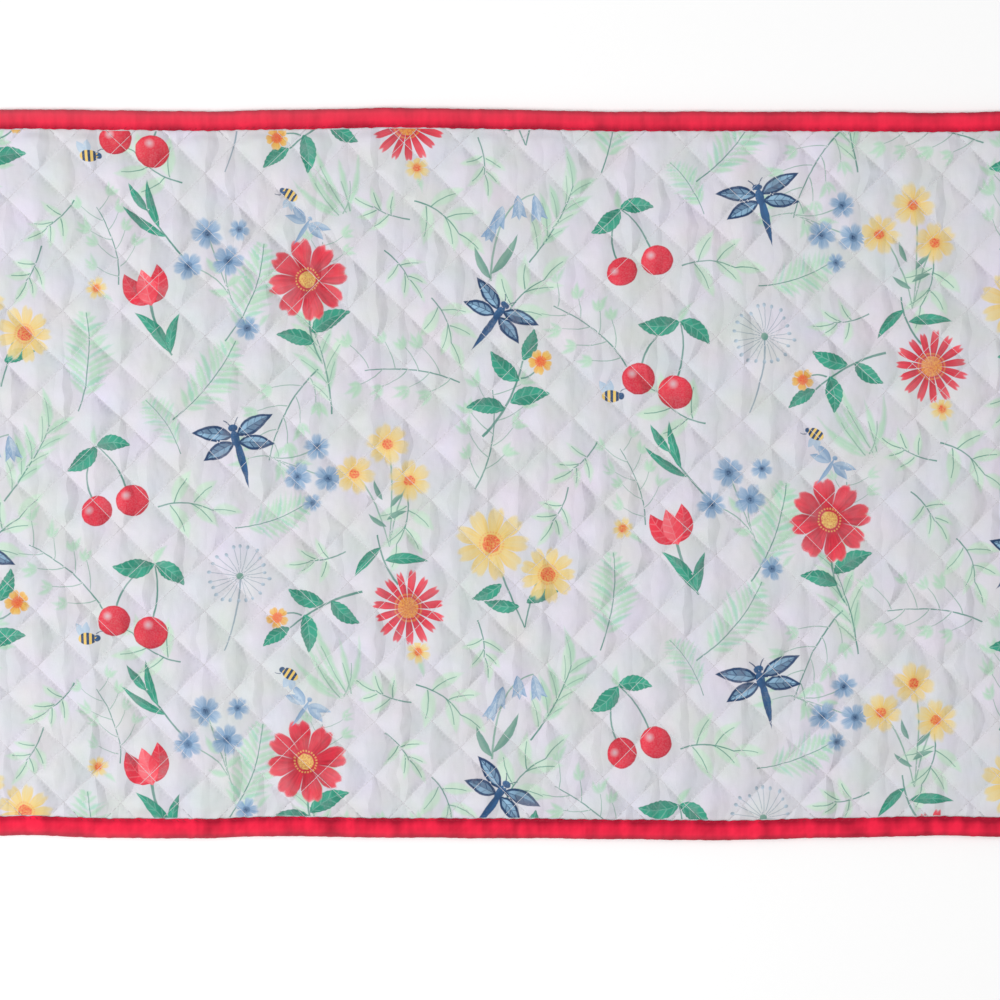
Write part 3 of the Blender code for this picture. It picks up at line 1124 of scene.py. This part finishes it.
def tossed(chance):
    """Places for the motifs of one repeat, eased apart until each has its room."""
    room = np.array([row[3] for row in REPEAT], float)
    colour = np.array([row[4] for row in REPEAT])
    pale = colour == "pale"
    alike = colour[:, None] == colour[None]
    closeness = np.where(alike, ALIKE, UNLIKE)
    closeness[pale[:, None] & pale[None]] = BOTH_PALE
    closeness[pale[:, None] != pale[None]] = ONE_PALE
    need = (room[:, None] + room[None]) * closeness
    places = chance.uniform(0, 1, (len(REPEAT), 2)) * (REPEAT_LENGTH, REPEAT_WIDTH)
    shifts = half_drops(2)
    for _ in range(EASINGS):
        apart = places[:, None, None] - places[None, :, None] - shifts[None, None]
        distance = np.maximum(np.hypot(apart[..., 0], apart[..., 1]), 1e-6)
        push = np.clip(need[..., None] - distance, 0, None)
        push[distance < 1e-3] = 0  # of a motif on itself
        places += EASING * (apart / distance[..., None] * push[..., None]).sum(axis=(1, 2))
    # back into the first repeat
    column = np.floor(places[:, 0] / REPEAT_LENGTH)
    places -= np.column_stack([column * REPEAT_LENGTH, column % 2 * REPEAT_WIDTH / 2])
    places[:, 1] %= REPEAT_WIDTH
    return places


def no_marks():
    return {layer: [] for layer in STROKE_LAYERS + LINE_LAYERS + DISC_LAYERS}


def draw(item, marks, place):
    """Draw a motif at a place, the same way each time."""
    item.motif(Pen(marks, place, item.turn, item.size, np.random.default_rng(item.seed)))


def clearance(item, spots):
    """Distance in mm, up to FAR, from each spot to a motif and its nearest repeats."""
    marks = no_marks()
    draw(item, marks, item.place)
    dots = []
    for mark in sum(marks.values(), []):
        if mark.kind == "disc":
            turns = np.linspace(0, 2 * math.pi, 6, endpoint=False)
            dots.append(mark.centre + np.column_stack([np.cos(turns), np.sin(turns)]) * mark.radii)
        else:
            dots.append(mark.spine[::3])
    dots = np.concatenate(dots)
    least = np.full(len(spots), FAR)
    for shift in half_drops(1):
        near = np.hypot(*(spots - item.place - shift).T) < 1.5 * FAR
        apart = spots[near][:, None] - (dots + shift)
        least[near] = np.minimum(least[near], np.hypot(apart[..., 0], apart[..., 1]).min(axis=1))
    return least


def one_repeat():
    """The motifs of one repeat at their places, with sprays added where it would be bare."""
    places = tossed(np.random.default_rng(REPEAT_SEED))
    items = [
        SimpleNamespace(motif=motif, place=place, turn=turn, size=size, seed=number)
        for number, (place, (motif, turn, size, *_)) in enumerate(zip(places, REPEAT))
    ]
    sides = (np.arange(0, side, SPOT_SPACING) for side in (REPEAT_LENGTH, REPEAT_WIDTH))
    spots = np.column_stack([grid.ravel() for grid in np.meshgrid(*sides)])
    bare = np.min([clearance(item, spots) for item in items], axis=0)
    while bare.max() > BARE_ENOUGH:
        widest = np.argmax(bare)
        number = len(items)
        motif, radius = FILLERS[number % len(FILLERS)]
        size = float(np.clip(bare[widest] * 1.15 / radius, *SPRAY_SIZES))
        turn = number * GOLDEN_TURN
        spray = SimpleNamespace(motif=motif, place=spots[widest], turn=turn, size=size, seed=number)
        bare = np.minimum(bare, clearance(spray, spots))
        items.append(spray)
    return items


def drawn_marks():
    """Every mark of the print, by layer."""
    marks = no_marks()
    reach = np.array([MAT_LENGTH, MAT_WIDTH]) / 2 / MM
    items = one_repeat()
    for shift in half_drops(2):
        for item in items:
            place = item.place + shift
            if (np.abs(place) < reach + MOTIF_REACH).all():
                draw(item, marks, place)
    return marks


def beside_spine(spine, points):
    """Share of the spine's length and signed distance from it, in mm, of each point."""
    step = np.diff(spine, axis=0)
    length = np.hypot(*step.T)
    unit = step / length[:, None]
    before = np.concatenate([[0.0], np.cumsum(length)[:-1]])
    apart = points[:, None] - spine[None, :-1]
    along = (apart * unit).sum(axis=2)
    low, high = np.zeros(len(unit)), length.copy()
    low[0], high[-1] = -np.inf, np.inf
    held = np.clip(along, low, high)
    gap = apart - held[..., None] * unit
    nearest = np.argmin(np.hypot(gap[..., 0], gap[..., 1]), axis=1)
    row = np.arange(len(points))
    side = unit[nearest, 0] * apart[row, nearest, 1] - unit[nearest, 1] * apart[row, nearest, 0]
    distance = np.copysign(np.hypot(*gap[row, nearest].T), side)
    return (before[nearest] + held[row, nearest]) / length.sum(), distance


def swelling(share):
    """Half-width of a stroke along its length: nothing at its ends, about 1 where it is widest."""
    q = 2 * share - 1
    return (1 - q * q) * (1 - 0.3 * q)


def on_mark(mark, points):
    """A mark's own coordinates of points, and their distance in mm outside it."""
    if mark.kind == "disc":
        apart = points - mark.centre
        c, s = math.cos(mark.turn), math.sin(mark.turn)
        local = apart @ np.array([[c, -s], [s, c]])
        mean = mark.radii.mean()
        outside = (np.hypot(*(local / mark.radii).T) - 1) * mean
        own = local / mark.radii * mean
        return np.column_stack([own, np.full(len(points), mean)]), outside
    share, distance = beside_spine(mark.spine, points)
    long = np.hypot(*np.diff(mark.spine, axis=0).T).sum()
    beyond = np.maximum(np.maximum(-share, share - 1), 0) * long
    half = mark.width * (swelling(np.clip(share, 0, 1)) if mark.kind == "stroke" else 1.0)
    outside = np.where(beyond > 0, np.hypot(distance, beyond), np.abs(distance) - half)
    return np.column_stack([share, distance, np.full(len(points), mark.width)]), outside


def mark_box(mark):
    """Lowest and highest place in mm that a mark's coordinates reach."""
    if mark.kind == "disc":
        return mark.centre - mark.radii.max() - MARK_REACH, mark.centre + mark.radii.max() + MARK_REACH
    spread = mark.width + MARK_REACH
    return mark.spine.min(axis=0) - spread, mark.spine.max(axis=0) + spread


def leave_marks(mesh, marks):
    """Give each corner of the cloth's upper faces the coordinates of the nearest mark by layer."""
    places = numbers(mesh.vertices, "co", 3)[:, :2] / MM
    corner_point = numbers(mesh.loops, "vertex_index", 1, np.int32)
    first = numbers(mesh.polygons, "loop_start", 1, np.int32)
    sides = numbers(mesh.polygons, "loop_total", 1, np.int32)
    facing = numbers(mesh.polygons, "normal", 3)[:, 2]
    centres = numbers(mesh.polygons, "center", 3)[:, :2] / MM
    upper = np.flatnonzero((facing > 0.3) & (sides == 3))
    upper = upper[np.argsort(centres[upper, 0])]
    centres = centres[upper]
    for layer, drawn in marks.items():
        nowhere = OFF_DISC if layer in DISC_LAYERS else OFF_STROKE
        own = np.tile(np.array(nowhere, np.float32), (len(corner_point), 1))
        form = np.zeros((len(corner_point), 3), np.float32)
        names = ("ink", "light", "eye") if layer == "bloom" else ("ink", "light")
        colours = {name: np.zeros((len(corner_point), 4), np.float32) for name in names}
        nearest = np.full(len(upper), MARK_REACH)
        winner = np.full(len(upper), -1)
        for number, mark in enumerate(drawn):
            low, high = mark_box(mark)
            start, end = np.searchsorted(centres[:, 0], (low[0], high[0]))
            rows = np.arange(start, end)
            rows = rows[(centres[rows, 1] > low[1]) & (centres[rows, 1] < high[1])]
            outside = on_mark(mark, centres[rows])[1]
            closer = outside < nearest[rows]
            nearest[rows[closer]] = outside[closer]
            winner[rows[closer]] = number
        for number, mark in enumerate(drawn):
            won = upper[winner == number]
            corners = (first[won][:, None] + np.arange(3)).ravel()
            own[corners] = on_mark(mark, places[corner_point[corners]])[0]
            form[corners] = mark.form
            extras = (getattr(mark, "seed", 0.0), getattr(mark, "softness", 0.0), 0.0)
            for name, colour, extra in zip(names, mark.colours, extras):
                colours[name][corners] = (*colour, extra)
        store(mesh, f"{layer}_at", "FLOAT_VECTOR", own)
        if layer in LINE_LAYERS:
            names = ("ink",)
        else:
            store(mesh, f"{layer}_form", "FLOAT_VECTOR", form)
        for name in names:
            store(mesh, f"{layer}_{name}", "FLOAT_COLOR", colours[name])


def store(mesh, name, kind, values):
    """Leave values on the corners of a mesh."""
    layer = mesh.attributes.new(name, kind, "CORNER")
    layer.data.foreach_set("color" if kind == "FLOAT_COLOR" else "vector", values.ravel())


# ---------------------------------------------------------------- materials


class Painting(Graph):
    """A cloth's shader tree, with the noises of the brush that its print shares."""

    def __init__(self, name):
        self.material = bpy.data.materials.new(name)
        self.material.use_nodes = True
        self.material.node_tree.nodes.clear()
        super().__init__(self.material.node_tree)
        self.place = self.node("ShaderNodeTexCoord")["Object"]

    def brush(self):
        self.wobble = self.uneven(self.place, 300.0)
        self.fine = self.uneven(self.place, 1500.0)
        self.wash = self.uneven(self.place, 130.0, 3.0)

    def read(self, name):
        """An attribute that was left on the mesh."""
        return self.node("ShaderNodeAttribute", {"attribute_name": name})

    def mark(self, layer, kind):
        return self.read(f"{layer}_{kind}")

    def scaled(self, colour, share):
        return self.vector("MULTIPLY", colour, self.grey(share))

    def clouded(self, colour):
        """A colour with the faint casts of dyed cloth in wide soft patches."""
        own = self.noise(self.place, 50.0, 3.0)["Color"]
        shared = self.noise(self.place, 38.0, 3.0)["Fac"]
        cast = self.vector("MULTIPLY_ADD", own, (0.15, 0.05, 0.18), (0.791, 0.985, 0.7375))
        tint = self.vector("MULTIPLY_ADD", self.grey(shared), (0.27, -0.02, 0.35), cast)
        return self.vector("MULTIPLY", tint, colour)

    def finish(self, colour, roughness, height, sheen=0.0, shine=0.2):
        """Close the tree: height is the relief of the weave and its creases, in mm."""
        bump = {"Strength": 1.0, "Distance": MM, "Height": height}
        looks = {
            "Base Color": colour,
            "Roughness": roughness,
            "Normal": self.node("ShaderNodeBump", {}, bump)["Normal"],
            "Specular IOR Level": shine,
            "Sheen Weight": sheen,
            "Sheen Roughness": 0.5,
        }
        surface = self.node("ShaderNodeBsdfPrincipled", {}, looks)["BSDF"]
        self.node("ShaderNodeOutputMaterial", {}, {"Surface": surface})
        return self.material


PAINT_EDGE = 0.36  # mm over which paint fades at its edge


def painted_strokes(g, under, layer, density, bleed=0.0):
    """Brush strokes over a colour: leaves, petals and wings with veins and an outline.

    bleed is how far in mm a watery stroke runs past its edge.
    """
    share, distance, half = g.parts(g.mark(layer, "at")["Vector"])
    teeth, veins, outline = g.parts(g.mark(layer, "form")["Vector"])
    beside = distance + g.wobble * 0.7
    away = abs(beside)
    q = share * 2.0 - 1.0
    swell = (1.0 - q * q) * (1.0 - q * 0.3)
    inside = swell * half - away - abs(g.fraction(share * 8.0) - 0.5) * teeth
    if bleed:
        inside = inside + g.wash * bleed * 2.0
    ribs = abs(g.fraction(share * 5.0 - away / half * 0.9) - 0.5)
    rib = g.soft(0.07 - ribs, 0.14) * g.soft(inside - 0.35, 0.3) * 0.75
    shown = g.most(g.least(0.62 + g.wash * 2.6, 1.0), 0.1)
    vein = g.most(g.soft(0.13 - away, 0.3), rib) * shown * veins
    rim = g.soft(1.0 - inside, 0.5) * outline
    pooled = g.soft(0.22 - inside, 0.4) * (0.3 - g.wash)
    tone = g.soft(beside, 0.7) * 0.36 + g.wash * 1.5 + g.fine * 0.4 + vein * 0.9 + 0.36
    deep, light = (g.mark(layer, kind)["Color"] for kind in ("ink", "light"))
    colour = g.blend(tone - rim - pooled, deep, light)
    colour = g.blend(vein * 0.42, colour, GROUND)
    cover = g.soft(inside, PAINT_EDGE + bleed) * (g.wash * 0.55 + g.fine * 0.3 + density)
    return g.blend(cover, under, colour)


def painted_lines(g, under, layer):
    """Thin lines over a colour: stems, rays and feelers, finer towards their ends."""
    share, distance, half = g.parts(g.mark(layer, "at")["Vector"])
    inside = half * (1.2 - share * 0.45) - abs(distance + g.wobble * 0.5)
    within = (share > 0.0) * (share < 1.0)
    cover = g.soft(inside, 0.34) * within * (g.wash * 0.7 + 0.9)
    return g.blend(cover, under, g.mark(layer, "ink")["Color"])


def painted_blooms(g, under):
    """Open flowers over a colour, each petal streaked, with an eye and a ring of stamens."""
    x, y, radius = g.parts(g.mark("bloom", "at")["Vector"])
    petals, cleft, eye = g.parts(g.mark("bloom", "form")["Vector"])
    ink_mark = g.mark("bloom", "ink")
    reach = g.distance(x, y)
    along = reach / radius
    turned = g.maths("ARCTAN2", y, x) / (2 * math.pi) * petals + ink_mark["Alpha"] * 7.0
    petal = g.floor(turned)
    beside = g.fraction(turned) - 0.5
    out = abs(beside) * 2.0
    luck = g.chance(g.maths("MODULO", petal, petals), ink_mark["Alpha"])["Value"]
    notch = g.soft(0.16 - out, 0.22) * 0.07
    edge = radius * (1.0 - cleft * out * out * out - luck * 0.09 - notch) + g.wobble * 2.2
    inside = edge - reach
    parting = (1.0 - out) * reach / petals * math.pi
    open_line = g.soft(along - 0.45, 0.3) * g.soft(0.22 - parting, 0.25) * 0.75
    streak = g.uneven(g.joined(beside * 9.0, along * 1.3, petal), 1.0)
    tone = along * 0.85 + streak * 1.5 - out * out * 0.35 + g.wash * 0.6
    tone = tone + g.soft(beside, 0.25) * 0.16 - 0.08
    light_mark = g.mark("bloom", "light")
    softness = light_mark["Alpha"]
    colour = g.blend(tone, ink_mark["Color"], light_mark["Color"])
    core = eye * radius - reach + g.wobble * 1.4
    stamens = abs(g.fraction(turned * 3.0) - 0.5) * reach / petals * 2.0
    dots = g.soft(0.34 - stamens, 0.3) * g.soft(0.42 - abs(core + radius * 0.07), 0.3)
    eye_colour = g.mark("bloom", "eye")["Color"]
    grains = g.blend(g.fine * 2.0 + 0.72, ink_mark["Color"], eye_colour)
    colour = g.blend(g.soft(0.4 - inside, 1.6) * 0.3, colour, GROUND)
    colour = g.blend(g.soft(core, 0.6), colour, grains)
    colour = g.blend(dots * (0.75 - softness * 0.6), colour, eye_colour)
    faded = 1.0 - softness * along * along * 0.35
    ragged = inside + g.wash * softness * 2.0
    shown = g.soft(ragged, 0.4 + softness * 1.3)
    cover = shown * (1.0 - open_line) * (g.wash * 0.3 + 0.98) * g.most(faded, g.soft(core, 0.5))
    return g.blend(cover, under, colour)


def painted_spots(g, under):
    """Round and oval marks over a colour: glossy fruit, striped bodies and plain dots."""
    x, y, radius = g.parts(g.mark("spot", "at")["Vector"])
    stripes, gloss, _ = g.parts(g.mark("spot", "form")["Vector"])
    inside = radius - g.distance(x, y) + g.wobble * 0.8
    right, up = x / radius, y / radius
    glint = g.distance(right + 0.34, up - 0.38)
    bands = (g.fraction(right * 1.7 + 0.2) > 0.5) * stripes
    tone = 0.55 - right * 0.3 + up * 0.25 + g.wash * 0.9 - g.soft(0.6 - inside, 0.8) * gloss * 0.4
    tone = tone * (1.0 - stripes) + bands
    colour = g.blend(tone, g.mark("spot", "ink")["Color"], g.mark("spot", "light")["Color"])
    colour = g.blend(g.soft(0.2 - glint, 0.3) * gloss * 0.6, colour, GROUND)
    cover = g.soft(inside, PAINT_EDGE) * (g.fine * 0.3 + 0.97)
    return g.blend(cover, under, colour)


def woven(g, along, across, pitch):
    """Relief in mm of a plain weave: slubs that run with the threads both ways."""
    warp = g.noise(g.joined(along / pitch, across / (pitch * 9)), 1.0, 1.0)["Fac"]
    weft = g.noise(g.joined(along / (pitch * 9), across / pitch, 3.0), 1.0, 1.0)["Fac"]
    return (warp + weft - 1.0) * 0.035


def creased(g, along, across):
    """Relief in mm of the small folds between the seams and of the dip along each seam."""
    at = diamond(g, along, across)
    small = g.uneven(g.joined(along * 180.0, across * 130.0), 1.0, 1.0)
    off_seam = g.least(
        abs(g.fraction(at.rising + 0.5) - 0.5), abs(g.fraction(at.falling + 0.5) - 0.5)
    )
    dip = g.most(1.0 - off_seam * SEAM_SPACING / SEAM_DIP_WIDTH, 0.0)
    return (folds(g, at, FINE_FOLDS) - 0.5) * 1.02 + small * 0.6 - dip * dip * 0.19


def printed_cotton():
    g = Painting("printed_cotton")
    g.brush()
    x, y, _ = g.parts(g.read("as_cut")["Vector"])
    slubs = woven(g, x, y, 0.55 * MM)
    under = g.clouded(GROUND)
    under = painted_strokes(g, under, "wash", 0.84, 1.0)
    under = painted_lines(g, under, "fine")
    under = painted_lines(g, under, "stem")
    under = painted_strokes(g, under, "leaf", 0.98)
    under = painted_blooms(g, under)
    under = painted_strokes(g, under, "petal", 0.98)
    under = painted_spots(g, under)
    shade = 1.0 + slubs * 0.8
    relief = slubs + creased(g, x, y)
    return g.finish(g.scaled(under, shade), 0.62 + g.fine * 0.1, relief, 0.06, 0.45)


def plain_cotton():
    g = Painting("plain_cotton")
    x, y, _ = g.parts(g.read("as_cut")["Vector"])
    slubs = woven(g, x, y, 0.6 * MM)
    clouds = g.uneven(g.place, 40.0, 3.0)
    colour = g.scaled(g.clouded(ink(214, 213, 216)), 1.0 + clouds * 0.04 + slubs)
    relief = slubs + creased(g, x, y)
    return g.finish(colour, 0.86 + clouds * 0.05, relief, 0.06)


def binding_cotton():
    """Red tape cut on the bias, so that its threads cross it slantwise."""
    g = Painting("binding_cotton")
    run, unfolded, inset = g.parts(g.read("on_tape")["Vector"])
    slubs = woven(g, run + unfolded, run - unfolded, 0.6 * MM)
    clouds = g.uneven(g.joined(run, unfolded), 60.0, 3.0)
    drags = g.noise(g.joined((run + unfolded) * 420.0, (run - unfolded) * 60.0), 1.0)["Fac"]
    puckers = g.uneven(g.joined(run * 210.0, unfolded * 40.0, 2.0), 1.0)
    # painted light and shade of soft gathers along the tape: lighter and darker patches that have no
    # relief
    painted_gather_shade = g.uneven(g.joined(run * 110.0, unfolded * 45.0, 7.0), 1.0, 1.0)
    x, y, _ = g.parts(g.place)
    front = 0.5 - y / MAT_WIDTH
    # painted shade: the tape is darker towards its outer fold and where it is sewn down, where its
    # rounded cloth turns from the light, and darker from left to right as the light falls off; it is
    # also a little darker along the front
    fold = g.soft(1.5 * MM - inset, 2.2 * MM)
    sewn = g.soft(inset - BINDING_WIDTH + 2.1 * MM, 2.6 * MM)
    painted_shade_base = 0.87 - front * 0.08 - x * 0.36 - fold * 0.8 - sewn * 0.66
    # painted shade: the colour is darker where the puckers dip and lighter where they rise, and it
    # varies with the gathers, most along the front; the clouds are the dye's own unevenness
    tone = painted_shade_base + clouds * 1.5 + slubs * 3.0 + puckers * 0.85 + painted_gather_shade * front * 2.2
    colour = g.blend(tone, ink(164, 12, 44), ink(241, 32, 68))
    # painted sheen: the tape turns paler and less red towards its outer fold, over more of its width at
    # the back, and more on the left, towards the light
    outward = g.most(1.0 - inset / BINDING_WIDTH, 0.0)
    worn = outward ** (1.0 + front * 3.0) * (0.35 - x * 0.8)
    colour = g.blend(worn, colour, ink(205, 92, 104))
    relief = slubs * 1.2 + drags * 0.2 + puckers * 0.6
    return g.finish(colour, 0.68 + clouds * 0.15, relief, 0.04, 0.14)


def thread(name, colour):
    """Spun thread: a fine twist round each stitch and a little unevenness."""
    g = Painting(name)
    x, y, z = g.parts(g.place)
    twist = g.sine((x + y * 1.7 + z) * 9000.0)
    fluff = g.uneven(g.place, 900.0)
    return g.finish(g.scaled(colour, 1.0 + fluff * 0.2), 0.6 + fluff * 0.2, twist * 0.02, 0.1)


def pale_ground():
    g = Painting("pale_ground")
    grain = g.uneven(g.place, 260.0, 3.0)
    return g.finish(g.scaled((0.965, 0.965, 0.965), 1.0 + grain * 0.01), 0.7, grain * 0.02)


# ---------------------------------------------------------------- the mat


def make_cloths():
    """The printed face and the plain backing, each closed where the binding hides it."""
    tree = quilting_tree()
    hidden_inset = BINDING_WIDTH + PLAY + 1.2 * MM
    face_floor = 0.95 * MM
    face_form = {
        "Seam height": SEAM_HEIGHT,
        "Crown height": CROWN_HEIGHT,
        "Rim height": RIM_TOP,
        "Ridge": 0.36,
        "Wrinkle": 0.85 * MM,
        "Finish": printed_cotton(),
    }
    face_rings = (
        (RIM_INSET, RIM_TOP),
        (RIM_INSET, RIM_BOTTOM + 0.3 * MM),
        (hidden_inset, face_floor),
    )
    face_mesh = quilted_cloth(tree, FACE_CELLS, face_form, face_rings)
    leave_marks(face_mesh, drawn_marks())
    back_form = {
        "Seam height": 0.45 * MM,
        "Crown height": 0.10 * MM,
        "Rim height": RIM_BOTTOM,
        "Ridge": 0.2,
        "Wrinkle": -0.12 * MM,
        "Finish": plain_cotton(),
    }
    back_rings = (
        (RIM_INSET, RIM_BOTTOM),
        (RIM_INSET, RIM_BOTTOM + 0.25 * MM),
        (hidden_inset, face_floor - 0.1 * MM),
    )
    back_mesh = quilted_cloth(tree, BACK_CELLS, back_form, back_rings)
    cloths = []
    for name, mesh in (("quilted_face", face_mesh), ("quilted_back", back_mesh)):
        lay(mesh)
        cloth = piece(name, mesh)
        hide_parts("panel")
        cloths.append(cloth)
    return cloths


def make_binding():
    cloth = binding_cotton()
    sides = (
        ("back", MAT_LENGTH / 2, MAT_WIDTH / 2, 0.0),
        ("left", MAT_WIDTH / 2, MAT_LENGTH / 2, math.pi / 2),
        ("front", MAT_LENGTH / 2, MAT_WIDTH / 2, math.pi),
        ("right", MAT_WIDTH / 2, MAT_LENGTH / 2, -math.pi / 2),
    )
    tapes = []
    for seed, (side, half_run, half_across, turn) in enumerate(sides):
        mesh = tape_mesh(half_run, half_across, turn, seed)
        mesh.materials.append(cloth)
        tape = piece(f"tape_{side}", mesh)
        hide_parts(f"binding_{side}")
        tapes.append((tape, 2 * half_run))
    return tapes


QUILT_STITCH = 3.1 * MM
EDGE_STITCH = 2.5 * MM
EDGE_PITCH = 2.9 * MM  # from one stitch in the binding to the next

# Heights of the quilting thread on each side: on a seam and at the rim
QUILT_LEVELS = (
    ("face", SEAM_HEIGHT + 0.06 * MM, RIM_TOP + 0.2 * MM),
    ("back", 0.36 * MM, RIM_BOTTOM - 0.12 * MM),
)
EDGE_LEVELS = (("top", TAPE_FACE + PLY / 2 - 0.33 * MM), ("under", 0.10 * MM))


def make_quilt_sewing():
    """White thread along both sets of quilting lines, on the face and on the back."""
    tree = quilt_sewing_tree()
    pitch_y = QUILT_STITCH * DIAMOND_WIDTH / SEAM_RUN
    lean = FIELD_HALF_WIDTH / DIAMOND_WIDTH
    first = math.ceil((-FIELD_HALF_LENGTH - CROSSING_X) / DIAMOND_LENGTH - lean)
    last = math.floor((FIELD_HALF_LENGTH - CROSSING_X) / DIAMOND_LENGTH + lean)
    form = {
        "Lines": last - first + 1,
        "Stitches": math.ceil(2 * FIELD_HALF_WIDTH / pitch_y) + 1,
        "First line": float(first),
        "Pitch": pitch_y,
        "Stitch length": QUILT_STITCH,
        "Thread radius": 0.125 * MM,
        "Half length": FIELD_HALF_LENGTH,
        "Half width": FIELD_HALF_WIDTH,
        "Finish": thread("white_thread", ink(218, 215, 219)),
    }
    rows = []
    for side, seam, rim in QUILT_LEVELS:
        for direction, slope in (("rising", 1.0), ("falling", -1.0)):
            here = {"Slope": slope, "Seam height": seam, "Rim height": rim}
            mesh = grown(tree, {**form, **here})
            lay(mesh)
            rows.append(piece(f"quilting_{side}_{direction}", mesh))
    return rows


def make_edge_sewing():
    """Red thread through the binding, near its inner edge, above and below."""
    tree = edge_sewing_tree()
    length = MAT_LENGTH - 2 * SEWING_INSET
    width = MAT_WIDTH - 2 * SEWING_INSET
    form = {
        "Length": length,
        "Width": width,
        "Stitches": round(2 * (length + width) / EDGE_PITCH),
        "Stitch length": EDGE_STITCH,
        "Thread radius": 0.17 * MM,
        "Finish": thread("red_thread", ink(176, 28, 56)),
    }
    rows = []
    for side, height in EDGE_LEVELS:
        mesh = grown(tree, {**form, "Height": height})
        lay(mesh)
        rows.append(piece(f"edge_sewing_{side}", mesh))
    return rows


def declare():
    """Work out the length of a tape's cloth, from one raw edge round the fold to the other; the length
    is not used.
    """
    tape_cut = float(np.linalg.norm(np.diff(tape_path(), axis=0), axis=1).sum())


# ---------------------------------------------------------------- stage, light and camera

PHOTO_PIXELS = 1000
MAT_PIXELS = 727  # the mat's width in the photo
MAT_ABOVE_MIDDLE = 26  # how far the mat's middle lies above the photo's
LENS = 85.0
SENSOR = 36.0


def add_stage():
    side, level = 4.0, -MM / 4
    mesh = bpy.data.meshes.new("table")
    corners = [(-side, -side, level), (side, -side, level), (side, side, level), (-side, side, level)]
    mesh.from_pydata(corners, [], [(0, 1, 2, 3)])
    mesh.materials.append(pale_ground())
    table = bpy.data.objects.new("table", mesh)
    bpy.context.scene.collection.objects.link(table)


def add_light(name, place, size, power):
    light = bpy.data.lights.new(name, "AREA")
    light.shape = "SQUARE"
    light.size = size
    light.energy = power
    made = bpy.data.objects.new(name, light)
    made.location = place
    aim = -np.array(place)
    made.rotation_euler = (
        math.atan2(math.hypot(aim[0], aim[1]), -aim[2]),
        0.0,
        math.atan2(-aim[0], aim[1]),
    )
    bpy.context.scene.collection.objects.link(made)


def add_lights():
    add_light("key", (-1.35, -0.37, 1.6), 0.9, 31.0)
    add_light("fill", (1.3, 0.5, 1.8), 1.4, 12.0)
    world = bpy.data.worlds.new("studio")
    world.use_nodes = True
    sky = world.node_tree.nodes["Background"].inputs
    sky["Color"].default_value = (1.0, 1.0, 1.0, 1.0)
    sky["Strength"].default_value = 0.41
    bpy.context.scene.world = world
    bpy.context.scene.view_settings.view_transform = "Standard"
    bpy.context.scene.view_settings.look = "None"


def add_camera():
    span = MAT_WIDTH * PHOTO_PIXELS / MAT_PIXELS
    camera = bpy.data.cameras.new("camera")
    camera.lens = LENS
    camera.sensor_width = SENSOR
    made = bpy.data.objects.new("camera", camera)
    made.location = (0.0, -span * MAT_ABOVE_MIDDLE / PHOTO_PIXELS, span * LENS / SENSOR + TAPE_UNDERSIDE)
    bpy.context.scene.collection.objects.link(made)
    bpy.context.scene.camera = made


def build():
    face, back = make_cloths()
    tapes = make_binding()
    sewing = make_quilt_sewing() + make_edge_sewing()
    declare()
    add_stage()
    add_lights()
    add_camera()


build()
